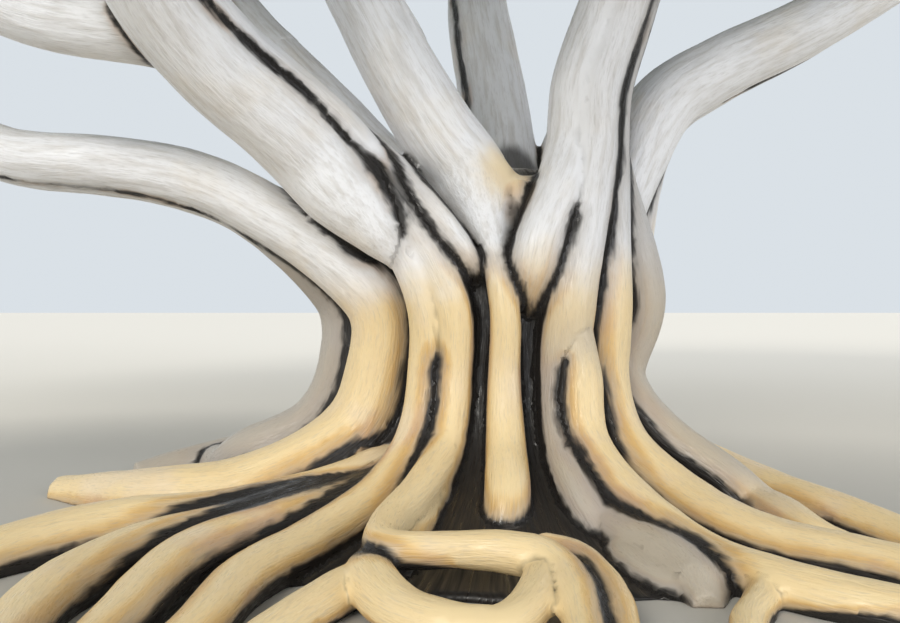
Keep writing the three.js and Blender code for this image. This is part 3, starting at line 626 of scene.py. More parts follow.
# Strands that meet at a flat angle, or where one hides the crease behind it, and still keep
# a crease of charcoal painted shade there, by so many metres wider.
FIRM_CREASES = [("stem_6", "side_root_3", 0.08), ("stem_0", "side_root_0", 0.08),
                ("side_root_0", "side_root_1", 0.07), ("side_root_1", "side_root_2", 0.07),
                ("side_root_2", "stem_2", 0.07), ("stem_5", "stem_6", 0.0), ("stem_2", "stem_3", 0.0),
                ("stem_2", "loop_root_0", 0.0), ("stem_3", "loop_root_0", 0.0),
                ("stem_6", "stem_7", 0.0)]
HEART_SIDES, HEART_DEPTH = 48, 0.3  # metres that it goes down before the cut at the ground
CORE_SHARE = 0.8  # of a bough's radius, under its strands
HEART_TONE = 2.0  # the shaded wall between the strands is charcoal
SIDE_LIMB_LENGTH = 2.6  # of the side branch in view


def wood_strand(limb, start, end, share=1.0):
    """A stretch of a bough or limb between two distances along it."""
    shares = np.linspace(start / limb["length"], end / limb["length"], LINE_POINTS)
    line = np.array([line_at(limb["line"], s)[0] for s in shares])
    along = np.linspace(start, end, LINE_POINTS)
    return bundle_part(limb["name"], line, along, taper_of(limb, shares) * share)


strands = [stem_strand(stem, i) for i, stem in enumerate(STEMS)]
strands += [ridge_strand(ridge, i) for i, ridge in enumerate(RIDGES)]
strands += [side_root_strand(root, i) for i, root in enumerate(SIDE_ROOTS)]
strands += [loop_root_strand(root, i) for i, root in enumerate(LOOP_ROOTS)]
for i, web in enumerate(FORK_STRANDS):
    strands.append(strand(f"fork_{i}", web["knots"], lambda along: np.full_like(along, web["girth"])))
for bough in BOUGHS:
    strands.append(wood_strand(bough, 0, bough["lower"], CORE_SHARE))
side_limb = LIMBS[0]
strands.append(wood_strand(side_limb, 0, SIDE_LIMB_LENGTH))


# The skin over the trunk, roots and lower boughs is one closed surface: the strands are
# joined as tubes, melted together, roughened along their grain and cut flat at the ground.
TUBE_SIDES = 20
SKIN_GRAIN = 0.026  # edge of the cells that the skin is melted in
SOFTENING = 3  # passes
WRINKLES = [(0.34, 1.1, 0.012), (0.13, 0.5, 0.008), (0.06, 0.16, 0.003)]  # across, along, height
TRUNK_FACES = 190000
SCRAP_SHARE = 0.03  # of the largest body, under which a body is a scrap
OFF_AXIS = (0.31, 0.77, 0.56)  # a way that no line starts along


def frames_along(line):
    """Two ways square to a line at each of its points, without twist."""
    ways = unit(np.gradient(line, axis=0))
    side = np.cross(ways[0], OFF_AXIS)
    sides = []
    for way in ways:
        side = side - way * (side @ way)
        side = side / np.linalg.norm(side)
        sides.append(side)
    sides = np.array(sides)
    return ways, sides, np.cross(ways, sides)


def tube_faces(points, sides):
    """The triangles of a tube, as corner numbers: rings, then the middle of each end cap."""
    ring = np.arange(points - 1)[:, None] * sides
    corner = np.arange(sides)
    after = (corner + 1) % sides
    a, b, c, d = (part.ravel() for part in (ring + corner, ring + after,
                                            ring + sides + after, ring + sides + corner))
    first, last, end = points * sides, points * sides + 1, (points - 1) * sides
    return np.vstack([np.column_stack([a, b, c]), np.column_stack([a, c, d]),
                      np.column_stack([np.full(sides, first), after, corner]),
                      np.column_stack([np.full(sides, last), end + corner, end + after])])


def rings_round(line, first, second, radii, sides):
    """A ring of corners round each point of a line, in two ways square to it."""
    turn = np.arange(sides) * 2 * math.pi / sides
    spokes = np.cos(turn)[:, None] * first[..., None, :] + np.sin(turn)[:, None] * second[..., None, :]
    return line[..., None, :] + spokes * radii[:, None, None]


def tube(line, radii, sides):
    """A closed tube of triangles: rings of corners round a line, with a cap at each end."""
    _, first, second = frames_along(line)
    rings = rings_round(line, first, second, radii, sides).reshape(-1, 3)
    return np.vstack([rings, line[:1], line[-1:]]), tube_faces(len(line), sides)


def joined(parts):
    """Many corners and faces as one."""
    starts = np.cumsum([0] + [len(corners) for corners, _ in parts[:-1]])
    return (np.vstack([corners for corners, _ in parts]),
            np.vstack([faces + start for (_, faces), start in zip(parts, starts)]))


def flat(values, kind=np.float32):
    """Values in one row, as meshes take them."""
    return np.ascontiguousarray(values, kind).ravel()


def make_object(name, corners, faces):
    """An object whose faces are rows of corner numbers."""
    mesh = bpy.data.meshes.new(name)
    mesh.vertices.add(len(corners))
    mesh.vertices.foreach_set("co", flat(corners))
    mesh.loops.add(faces.size)
    mesh.loops.foreach_set("vertex_index", flat(faces, np.int32))
    mesh.polygons.add(len(faces))
    mesh.polygons.foreach_set("loop_start", flat(np.arange(len(faces)) * faces.shape[1], np.int32))
    mesh.update(calc_edges=True)
    piece = bpy.data.objects.new(name, mesh)
    bpy.context.scene.collection.objects.link(piece)
    return piece


def rows_of(items, key, width=3, kind=np.float32):
    """A value of each item of a mesh, such as the places of its corners, in rows."""
    values = np.empty(len(items) * width, kind)
    items.foreach_get(key, values)
    return values.reshape(-1, width)


def corners_of(mesh):
    return rows_of(mesh.vertices, "co").astype(float)


def normals_of(mesh):
    return rows_of(mesh.vertex_normals, "vector").astype(float)


def move_corners(mesh, places):
    mesh.vertices.foreach_set("co", flat(places))
    mesh.update()


def modified(piece, *steps):
    """Applies modifiers, each a kind with its settings."""
    for kind, settings in steps:
        modifier = piece.modifiers.new(kind.lower(), kind)
        for key, value in settings.items():
            setattr(modifier, key, value)
    evaluated = piece.evaluated_get(bpy.context.evaluated_depsgraph_get())
    mesh = bpy.data.meshes.new_from_object(evaluated)
    piece.modifiers.clear()
    mesh.materials.clear()
    old, piece.data = piece.data, mesh
    bpy.data.meshes.remove(old)


def drop_scraps(piece):
    """Drops every loose scrap and every sealed inner wall."""
    mesh = piece.data
    a, b = rows_of(mesh.edges, "vertices", 2, np.int32).T
    label = np.arange(len(mesh.vertices))
    while True:
        low = np.minimum(label[a], label[b])
        lower = label.copy()
        np.minimum.at(lower, a, low)
        np.minimum.at(lower, b, low)
        lower = lower[lower]
        if (lower == label).all():
            break
        label = lower
    labels, counts = np.unique(label, return_counts=True)
    keep = np.isin(label, labels[counts > SCRAP_SHARE * counts.max()])
    if keep.all():
        return
    faces = rows_of(mesh.loops, "vertex_index", 1, np.int32)
    faces = faces.reshape(-1, len(mesh.polygons[0].vertices))
    number = np.cumsum(keep) - 1
    kept = make_object(piece.name + "_kept", corners_of(mesh)[keep], number[faces[keep[faces[:, 0]]]])
    piece.data = kept.data
    bpy.data.objects.remove(kept)


FAR = 9.0  # metres, further than anything is from its strand
NEAR = 0.5  # metres from a strand's surface within which points are looked at
BATCH = 20000  # points at once
GRAIN_APART = 3.7  # by which the grain of each strand is shifted from the one before


def heart_surface(points):
    """How far each point lies outside the heart, and the way out of it there."""
    radii, heights = HEART_PROFILE.T
    across = points[:, :2]
    far = np.maximum(np.linalg.norm(across, axis=1), 1e-6)
    slope = np.interp(points[:, 2], (heights[1:] + heights[:-1]) / 2, np.diff(radii) / np.diff(heights))
    lean = 1 / np.sqrt(1 + slope * slope)
    ways = np.column_stack([across / far[:, None] * lean[:, None], -slope * lean])
    gap = (far - np.interp(points[:, 2], heights, radii)) * lean
    return np.where(points[:, 2] > heights[-1], FAR, gap), ways


def strand_finds(points, strands, with_heart):
    """For each strand, then the heart: the points near it, how far its surface is from each
    and the way out of it, the point's place by its grain, and how far it faces out of the
    bundle there."""
    for number, each in enumerate(strands):
        line, radius = each["line"], each["radius"]
        onward, sides, ups = each.setdefault("frames", frames_along(line))
        margin = radius.max() + NEAR
        within = (points > line.min(0) - margin) & (points < line.max(0) + margin)
        near = np.flatnonzero(within.all(1))
        for part in np.array_split(near, len(near) // BATCH + 1):
            place = points[part]
            spans = (place * place).sum(1)[:, None] - 2 * place @ line.T + (line * line).sum(1)
            k = spans.argmin(1)
            step = place - line[k]
            past = (step * onward[k]).sum(1)
            past[(k == 0) | (k == len(line) - 1)] = 0
            out = step - past[:, None] * onward[k]
            far = np.maximum(np.linalg.norm(out, axis=1), 1e-6)
            own = np.column_stack([(out * sides[k]).sum(1), (out * ups[k]).sum(1),
                                   each["along"][k] + past])
            way = out / far[:, None]
            face = np.ones(len(part))
            if each["out"] is not None:
                length = np.minimum(np.linalg.norm(each["out"][k], axis=1), 1)
                face = (way * unit(each["out"][k])).sum(1) * length + 1 - length
            yield number, part, far - radius[k], way, own + number * GRAIN_APART, face
    if with_heart:
        gap, way = heart_surface(points)
        turn = np.arctan2(points[:, 1], points[:, 0])
        own = np.column_stack([np.cos(turn), np.sin(turn), points[:, 2]])
        yield len(strands), np.arange(len(points)), gap, way, own, np.ones(len(points))


def nearest_of(finds, count, allowed=None):
    """For each of count points the nearest strand, out of those that allowed lets in."""
    near = {"gap": np.full(count, FAR), "way": np.zeros((count, 3)), "grain": np.zeros((count, 3)),
            "facing": np.ones(count), "owner": np.zeros(count, int)}
    for number, part, *values in finds:
        closer = values[0] < near["gap"][part]
        if allowed is not None:
            closer &= allowed(number, part)
        for key, value in zip(("gap", "way", "grain", "facing"), values):
            near[key][part[closer]] = value[closer]
        near["owner"][part[closer]] = number
    return near


PLACE_PRIMES, SEED_PRIME = (73856093, 19349663, 83492791), 15485863
MIX_PRIMES = ((13, 1274126177), (15, 2246822519))  # each with its shift


def lattice_noise(points, seed):
    """Smooth heights between -1 and 1 over cells of unit size."""
    cell = np.floor(points).astype(np.int64)
    share = points - cell
    share = share * share * (3 - 2 * share)
    height = np.zeros(len(points))
    for corner in range(8):
        step = np.array([corner & 1, corner >> 1 & 1, corner >> 2 & 1])
        mixed = np.bitwise_xor.reduce((cell + step) * PLACE_PRIMES, axis=1) ^ (seed * SEED_PRIME)
        for shift, prime in MIX_PRIMES:
            mixed = ((mixed ^ (mixed >> shift)) * prime) & 0x7FFFFFFF
        weight = np.prod(np.where(step, share, 1 - share), axis=1)
        height += weight * ((mixed >> 7) % 65536 / 32768 - 1)
    return height


def roughen(mesh, strands, with_heart):
    """Raises and lowers the skin along the grain of its strands."""
    places = corners_of(mesh)
    grain = nearest_of(strand_finds(places, strands, with_heart), len(places))["grain"]
    height = np.zeros(len(places))
    for seed, (across, along, size) in enumerate(WRINKLES):
        height += size * lattice_noise(grain / [across, across, along], seed)
    move_corners(mesh, places + normals_of(mesh) * height[:, None])


def cut_flat(piece):
    """Takes away everything below the ground."""
    size = 40.0
    box = tube(np.array([[0, 0, -size / 2], [0, 0, 0.0]]), np.array([size, size]), 4)
    below = make_object("below", *box)
    modified(piece, ("BOOLEAN", {"operation": "DIFFERENCE", "solver": "MANIFOLD", "object": below}))
    bpy.data.objects.remove(below)


EDGE_LIMIT = 0.4  # metres from a crease, past which it leaves no mark
EDGE_PASSES = 2
HOLLOW_PASSES = 14
HOLLOW_DEPTH = 0.035  # metres under the surface round it, where a hollow's painted shade is darkest
GRAIN_STRETCH = 0.12  # so that a round spot of a pattern is drawn out eight times


def evened(mesh, values, passes):
    """Values at the corners of a mesh, evened out with those of their neighbours."""
    a, b = rows_of(mesh.edges, "vertices", 2, np.int32).T
    size = len(values)
    counts = np.maximum(np.bincount(a, minlength=size) + np.bincount(b, minlength=size), 1)
    for _ in range(passes):
        sums = [np.bincount(a, column[b], size) + np.bincount(b, column[a], size) for column in values.T]
        values = np.column_stack(sums) / counts[:, None]
    return values


def hollow_of(mesh):
    """How deep each corner lies in a hollow, from 0 to 1."""
    places = corners_of(mesh)
    depth = ((evened(mesh, places, HOLLOW_PASSES) - places) * normals_of(mesh)).sum(1)
    return np.clip(depth / HOLLOW_DEPTH, 0, 1)


PALE_RISE = (1.35, 2.3)  # heights between which tan bark gives way to pale
PALE_STAGGER, PALE_SPREAD = 0.4, 0.8  # how far that changes by strand, and spreads, at the rear
REAR = (-0.6, 0.3)  # depths between which the front gives way to the rear
STAGGER_TURN = 2.4  # radians from one strand's stagger to the next
FLATTEST = 0.3  # the sine of the flattest angle between two strands that a width is taken from
SHARP_SINES = (0.15, 0.45)  # sines between which a crease grows out of a flat seam
SIDE_WIDTH = 0.3  # metres of edge for each unit of facing past that
SEAM_WIDTH = 0.09  # metres from a grown-over seam within which the bark has no pattern
SEAM_FADE = 0.15  # metres of height over which a crease fades out into a grown-over seam
FORK_CUP, CUP_REACH = (0.17, 0.32, 2.9), (0.2, 0.48)  # painted shade, charcoal in the cup of the fork
FORK_STAIN, STAIN_REACH = (0.0, -0.72, 2.68), (0.05, 0.46)  # and the ochre stain under it


def pair_table(names, rows, default):
    """A value for each pair of strands and the heart, from rows of two names and a value."""
    table = np.full((len(names) + 1, len(names) + 1), default)
    for first, second, value in rows:
        if first in names:
            pair = names.index(first), names.index(second)
            table[pair] = table[pair[::-1]] = value
    return table


def mark_bark(mesh, strands, with_heart):
    """Marks where the skin has creases, hollows and inward sides for painted shade, pale bark, grey
    painted shade by each strand's tone, and its grain.
    """
    places = corners_of(mesh)
    height = places[:, 2]
    names = [each["name"] for each in strands]
    firm, seams = pair_table(names, FIRM_CREASES, -1.0), pair_table(names, JOINS, np.inf)
    soft = np.array([each["soft"] for each in strands] + [False])
    finds = list(strand_finds(places, strands, with_heart))
    own = nearest_of(finds, len(places))
    owner = own["owner"]
    beside = nearest_of(finds, len(places), lambda number, part: owner[part] != number)
    across = nearest_of(finds, len(places), lambda number, part: (owner[part] != number)
                        & (seams[owner[part], number] + SEAM_FADE > height[part]))

    def crease(other):
        """How far each point is from the crease with another strand, or from the strand
        itself where the two face each other across a groove."""
        cosine = np.clip((own["way"] * other["way"]).sum(1), 0, 1)
        sine = np.sqrt(1 - cosine ** 2)
        return (other["gap"] - own["gap"]) / np.maximum(sine, FLATTEST), sine

    whole = smooth(height - seams[owner, beside["owner"]], 0, SEAM_FADE)
    edge, sine = crease(across)
    joined_across = smooth(height - seams[owner, across["owner"]], 0, SEAM_FADE)
    wider = firm[owner, across["owner"]]
    sharp = np.where(wider < 0, smooth(sine, *SHARP_SINES), 1.0)
    faint = 1 - sharp * ~(soft[owner] | soft[across["owner"]]) * (1 - joined_across)
    edge = edge + faint * EDGE_LIMIT - np.maximum(wider, 0)
    shade = np.array([each["shade"] for each in strands] + [SIDE_DARK])[owner]
    # Painted shade: a side that faces into the bundle is marked as near a crease, so it goes charcoal.
    side = mix(np.maximum(own["facing"] - shade, 0) * SIDE_WIDTH, EDGE_LIMIT, whole)
    edge = np.clip(np.where(soft[owner], edge, np.minimum(edge, side)), 0, EDGE_LIMIT)

    # Grey painted shade by each strand's tone, charcoal painted shade on the heart's wall, and the ochre
    # stain under the fork.
    low_tones, high_tones = np.array([each["tones"] for each in strands] + [(0.0, 0.0)])[owner].T
    falls = np.array([each["tone_fall"] for each in strands] + [TONE_FALL])[owner].T
    tones = mix(low_tones, high_tones, smooth(height, *falls))
    tones = np.where(owner == len(strands), HEART_TONE, tones)
    tones -= 1 - smooth(np.linalg.norm(places - FORK_STAIN, axis=1), *STAIN_REACH)
    # Painted shade: charcoal in the cup of the fork, counted as a hollow.
    fork_shade = 1 - smooth(np.linalg.norm(places - FORK_CUP, axis=1), *CUP_REACH)
    behind = smooth(places[:, 1], *REAR)
    rise = height + PALE_STAGGER * behind * np.sin(owner * STAGGER_TURN)
    spread = PALE_SPREAD * behind
    calm = smooth(crease(beside)[0], 0.0, SEAM_WIDTH)
    marks = {"edge": evened(mesh, edge[:, None], EDGE_PASSES),
             "calm": mix(1.0, calm, np.maximum(whole, soft[owner] | soft[beside["owner"]])),
             "hollow": np.maximum(hollow_of(mesh), fork_shade),
             "pale": smooth(rise, PALE_RISE[0] - spread, PALE_RISE[1] + spread),
             "tone": evened(mesh, tones[:, None], EDGE_PASSES),
             "grain": own["grain"] * [1, 1, GRAIN_STRETCH]}
    for name, values in marks.items():
        kind, key = ("FLOAT_VECTOR", "vector") if name == "grain" else ("FLOAT", "value")
        attribute = mesh.attributes.new(name, kind, "POINT")
        attribute.data.foreach_set(key, flat(values))


def skin_over(name, strands, extra, cell, face_count):
    """One closed surface over a bundle of strands."""
    tubes = [tube(each["line"], each["radius"], TUBE_SIDES) for each in strands]
    piece = make_object(name, *joined(tubes + extra))
    modified(piece, ("REMESH", {"mode": "VOXEL", "voxel_size": cell}),
             ("SMOOTH", {"factor": 0.5, "iterations": SOFTENING}))
    drop_scraps(piece)
    roughen(piece.data, strands, bool(extra))
    if corners_of(piece.data)[:, 2].min() < 0:
        cut_flat(piece)
    faces = len(piece.data.loops) - 2 * len(piece.data.polygons)
    modified(piece, ("TRIANGULATE", {}), ("DECIMATE", {"ratio": min(1.0, face_count / faces)}))
    places = corners_of(piece.data)
    places[:, 2] = np.maximum(places[:, 2], 0)
    move_corners(piece.data, places)
    mark_bark(piece.data, strands, bool(extra))
    piece.data.shade_smooth()
    return piece


# Living bark: matt, dry and rough, tan and ochre on the roots and the lower trunk with cream
# painted highlights on the crests of its strands, and pale warm grey above. Painted shade darkens
# it: grey beside the creases and on shaded walls and flanks, and charcoal in the creases where two
# strands have grown together, in hollows and on sides that face into the bundle.
# Bark scatters light as wood does, so it keeps an IOR of 1.45 and a high roughness.
BARK_IOR, BARK_ROUGHNESS = 1.45, 0.92
# Tan and its streaks, ochre, and cream painted highlights low down, pale and its streaks higher
# up, grey for fibres and painted shade, charcoal painted shade.
BARK_COLOURS = ("#e7c17d", "#dfb05c", "#cb8f35", "#f6e2b6", "#f8f8fa", "#dddad7", "#aea9a4", "#262321")
SEAM_PATTERN = 0.45  # the even value of streaks and fibres at a grown-over seam
STREAK_WIDTH = 0.05  # metres, of the long stains down the bark
FIBRE_WIDTH = 0.012  # metres, drawn coarser than life so that it shows
PATCH_SIZE = 0.7  # metres, of the ochre patches
FISSURE_DEPTH = 0.006
CREASE_DARK, CREASE_LIGHT = 0.045, 0.1  # metres from the crease where the charcoal painted shade ends
SOFT_RISE = {"interpolation_type": "SMOOTHSTEP"}


def add_node(tree, kind, settings, links):
    """Adds a node with its settings, and with a value or another node's output on inputs."""
    node = tree.nodes.new("ShaderNode" + kind)
    for key, value in settings.items():
        setattr(node, key, value)
    for key, value in links.items():
        if isinstance(value, bpy.types.NodeSocket):
            tree.links.new(value, node.inputs[key])
        else:
            node.inputs[key].default_value = value
    return node


def layered(tree, colour, *layers):
    """Lays colours over a first one. Each layer has the value that it follows, where it
    starts and is full, the share that it then covers, and its colour."""
    for value, start, full, share, over in layers:
        rise = add_node(tree, "MapRange", SOFT_RISE, {0: value, 1: start, 2: full, 3: 0.0, 4: share})
        mixed = add_node(tree, "Mix", {"data_type": "RGBA"}, {0: rise.outputs[0], 6: colour, 7: over})
        colour = mixed.outputs[2]
    return colour


def added_to(tree, total, *parts):
    """Adds parts to a value. Each has the value that it follows, where it starts and is
    full, and its height there."""
    for value, start, full, height in parts:
        rise = add_node(tree, "MapRange", SOFT_RISE, {0: value, 1: start, 2: full, 3: 0.0, 4: height})
        total = add_node(tree, "Math", {"operation": "ADD"}, {0: total, 1: rise.outputs[0]}).outputs[0]
    return total


def link_surface(tree, shader, colour, rough, height, depth, strength):
    """Gives a shader its colour, its roughness and a relief of some metres."""
    bump = add_node(tree, "Bump", {}, {"Height": height, "Distance": depth, "Strength": strength})
    tree.links.new(colour, shader.inputs["Base Color"])
    tree.links.new(rough, shader.inputs["Roughness"])
    tree.links.new(bump.outputs["Normal"], shader.inputs["Normal"])


def bark_material(name):
    material, tree, shader = new_material(name)
    shader.inputs["IOR"].default_value = BARK_IOR
    tan, tan_deep, ochre, cream_highlight, pale, pale_deep, fibre_and_shade_grey, shade_charcoal = map(linear, BARK_COLOURS)
    edge, hollow, high, tone, calm, grain = (
        add_node(tree, "Attribute", {"attribute_name": key}, {}).outputs[output]
        for key, output in (("edge", "Fac"), ("hollow", "Fac"), ("pale", "Fac"), ("tone", "Fac"),
                            ("calm", "Fac"), ("grain", "Vector")))
    place = add_node(tree, "TexCoord", {}, {}).outputs["Object"]
    streak, fibre, patch = (
        add_node(tree, "TexNoise", {}, {"Vector": at, "Scale": 1 / size, "Detail": fine}).outputs["Fac"]
        for at, size, fine in ((grain, STREAK_WIDTH, 3.0), (grain, FIBRE_WIDTH, 2.0),
                               (place, PATCH_SIZE, 4.0)))
    streak, fibre = (
        add_node(tree, "Mix", {"data_type": "FLOAT"}, {0: calm, 2: SEAM_PATTERN, 3: pattern}).outputs[0]
        for pattern in (streak, fibre))
    edge = added_to(tree, edge, (streak, 0.3, 0.7, 0.024))
    by_crease = added_to(tree, 0.0, (edge, 0.15, 0.06, 0.5))
    high = added_to(tree, high, (patch, 0.3, 0.7, 0.5))
    # Cream is a painted highlight on the crests of the strands, away from the creases.
    low_bark = layered(tree, tan, (streak, 0.38, 0.62, 1.0, tan_deep), (patch, 0.5, 0.66, 0.75, ochre),
                       (edge, 0.12, 0.24, 0.75, cream_highlight))
    high_bark = layered(tree, pale, (streak, 0.42, 0.72, 0.75, pale_deep),
                        (patch, 0.52, 0.62, by_crease, ochre))
    # Painted shade: grey by each strand's tone and beside the creases, charcoal on the heart's wall, in
    # hollows and in the creases.
    bark = layered(tree, low_bark, (high, 0.25, 1.25, 1.0, high_bark), (tone, 0.0, 1.0, 0.85, fibre_and_shade_grey),
                   (tone, 0.0, -1.0, 0.85, low_bark), (edge, 0.2, 0.07, 0.5, fibre_and_shade_grey),
                   (fibre, 0.5, 0.75, 0.25, fibre_and_shade_grey), (tone, 1.0, 1.7, 1.0, shade_charcoal),
                   (hollow, 0.15, 0.9, 0.8, shade_charcoal),
                   (edge, CREASE_LIGHT, CREASE_DARK, 1.0, shade_charcoal))
    rough = added_to(tree, 0.0, (fibre, 0.0, 1.0, BARK_ROUGHNESS))
    relief = added_to(tree, 0.0, (streak, 0.2, 0.8, 1.0), (fibre, 0.2, 0.8, 0.5))
    link_surface(tree, shader, bark, rough, relief, FISSURE_DEPTH, 0.7)
    return material


heart_radii, heart_heights = np.vstack([(HEART_PROFILE[0][0], -HEART_DEPTH), HEART_PROFILE]).T
heart = tube(heart_heights[:, None] * Z_WAY, heart_radii, HEART_SIDES)
trunk = skin_over("trunk_and_roots", strands, [heart], SKIN_GRAIN, TRUNK_FACES)
trunk.data.materials.append(bark_material("fig root bark"))
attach(trunk, "root")
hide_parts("trunk")


# The upper boughs and the limbs carry on from the lower boughs with the same winding
# ridges, and run on inside each mass of foliage to the hub that its branches leave.
UPPER_OVERLAP = 0.12  # metres that the upper wood reaches down inside the lower
UPPER_SHARE = 0.985  # of the lower wood's radius, so that the overlap stays inside
UPPER_KNOTS = 9
UPPER_GRAIN = 0.034  # coarser than the skin below, as it is further away
UPPER_FACES = 110000
LIMB_RIDGES = [{"flank": flank, "stout": 0.74, "off": 0.28} for flank in (20, 200)]
HUB_DROP = 0.1  # share of the half height that the hub lies under a mass's middle
HUB_RADIUS = 0.6  # of the tip's radius
HUB_KNEE = 0.4  # share of the way to the hub over which a limb keeps straight on
HUB_STEPS = 40


def hub_of(mass):
    return point_in(mass, (0, 0, -1), HUB_DROP)


def bowed(starts, knees, ends, steps):
    """Points along many curved lines at once: one row of points for each line."""
    share = np.linspace(0, 1, steps + 1)[None, :, None]
    return (starts[:, None] * (1 - share) ** 2 + knees[:, None] * 2 * share * (1 - share)
            + ends[:, None] * share ** 2)


def hub_strand(limb):
    """From a limb's tip on into its mass, up to the hub."""
    tip, along = line_at(limb["line"], 1.0)
    hub = hub_of(limb["mass"])
    knee = tip + along * HUB_KNEE * np.linalg.norm(hub - tip)
    line = spaced(bowed(tip[None], knee[None], hub[None], HUB_STEPS)[0], HUB_STEPS + 1)
    radius = limb["radius"][1] * np.linspace(1, HUB_RADIUS, HUB_STEPS + 1)
    along = limb["length"] + np.linspace(0, line_length(line), HUB_STEPS + 1)
    return bundle_part(limb["name"], line, along, radius, soft=True)


def upper_ridge(limb, ridge, start):
    """A ridge from a share of the limb's length up to its tip."""
    shares = np.linspace(start, 1, UPPER_KNOTS)
    knots = [beside(limb, share, ridge) for share in shares]
    total = curve_length(knots)
    radii = taper_of(limb, shares) * ridge["stout"] * UPPER_SHARE
    return strand(limb["name"], knots,
                  lambda along: np.interp(along / total, np.linspace(0, 1, UPPER_KNOTS), radii),
                  {"high_tone": ridge.get("high_tone", 0.0)}, limb)


upper_strands = []
for bough in BOUGHS:
    start = bough["lower"] - UPPER_OVERLAP
    upper_strands.append(wood_strand(bough, start, bough["length"], CORE_SHARE * UPPER_SHARE))
    for ridge in STEMS + RIDGES:
        if ridge["bough"] is bough:
            upper_strands.append(upper_ridge(bough, ridge, start / bough["length"]))
for limb in LIMBS:
    start = SIDE_LIMB_LENGTH - UPPER_OVERLAP if limb is side_limb else 0.0
    share = CORE_SHARE * (UPPER_SHARE if limb is side_limb else 1.0)
    upper_strands.append(wood_strand(limb, start, limb["length"], share))
    upper_strands += [upper_ridge(limb, ridge, start / limb["length"]) for ridge in LIMB_RIDGES]
upper_strands += [hub_strand(limb) for limb in BOUGHS + LIMBS]

boughs = skin_over("boughs_and_limbs", upper_strands, [], UPPER_GRAIN, UPPER_FACES)
boughs.data.materials.append(bark_material("fig bough bark"))
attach(boughs, "root")
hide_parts(*(limb["name"] for limb in BOUGHS + LIMBS))


# The branches and twigs of the crown. From the hub of each mass a few branches spread out
# evenly, shoots leave the nearest branch, and each shoot ends in a handful of leafy
# twigs. All of it is thin brown wood, in one piece.
BRANCHES = 12  # per mass
BRANCH_REACH = 0.62  # share of the half sizes
BRANCH_LIFT = 0.05  # share of the half height that a branch bends up
LOWEST_BRANCH = -0.5  # how far a branch may point down
BRANCH_KNEE = 0.55  # share of the way out
BRANCH_STEPS, SHOOT_STEPS, TWIG_STEPS = 6, 3, 2
SHOOTS = 150  # per mass
SHOOT_REACH = (0.78, 0.92)
SHOOT_START = 0.55  # share of its reach from which a shoot's branch is the nearest one
SHOOT_ROOM = 0.9  # share of its reach that has to be in the mass's own space
SHOOT_BOW, TWIG_BOW = 0.25, 0.08  # metres outward
TWIGS = 9  # per shoot
TWIG_SPREAD = 0.2  # how far twigs stray from their shoot, as a share of the half sizes
TWIG_REACH = (0.66, 0.95)
TWIG_START = (0.45, 1.0)  # shares of the shoot's last stretch between which its twigs leave
TWIG_KNEE = 0.6  # share of the way out
TWIG_LIFT = 0.6  # how far the leaves of a twig turn outward
SPRAY_ROOM = 0.3  # metres past its tip that have to be in the mass's own space
LEAF_ROOM = 0.065  # share that a twig keeps from the edge of its mass
BRANCH_RADIUS = (0.075, 0.03)
SHOOT_RADIUS = (0.028, 0.012)
TWIG_RADIUS = (0.011, 0.004)
GOLDEN = math.pi * (3 - math.sqrt(5))
CROWN_SEED = 1009


def spread(count):
    """Ways spread evenly over a sphere."""
    index = np.arange(count)
    z = 1 - (2 * index + 1) / count
    ring = np.sqrt(1 - z * z)
    return np.column_stack([ring * np.cos(GOLDEN * index), ring * np.sin(GOLDEN * index), z])


def copies_of(corners, faces):
    """Many copies of one body, each with corners of its own, as one."""
    starts = np.arange(len(corners)) * corners.shape[1]
    return corners.reshape(-1, 3), (faces + starts[:, None, None]).reshape(-1, 3)


def many_tubes(lines, radii, sides):
    """Tubes with a pointed tip, along many lines at once."""
    count, points, _ = lines.shape
    ways = unit(np.gradient(lines, axis=1))
    first = unit(np.cross(ways, OFF_AXIS))
    rings = rings_round(lines, first, np.cross(ways, first), np.linspace(*radii, points), sides)
    tips = lines[:, -1] + ways[:, -1] * radii[1] * 2
    corners = np.concatenate([rings.reshape(count, -1, 3), lines[:, :1], tips[:, None]], axis=1)
    return copies_of(corners, tube_faces(points, sides))


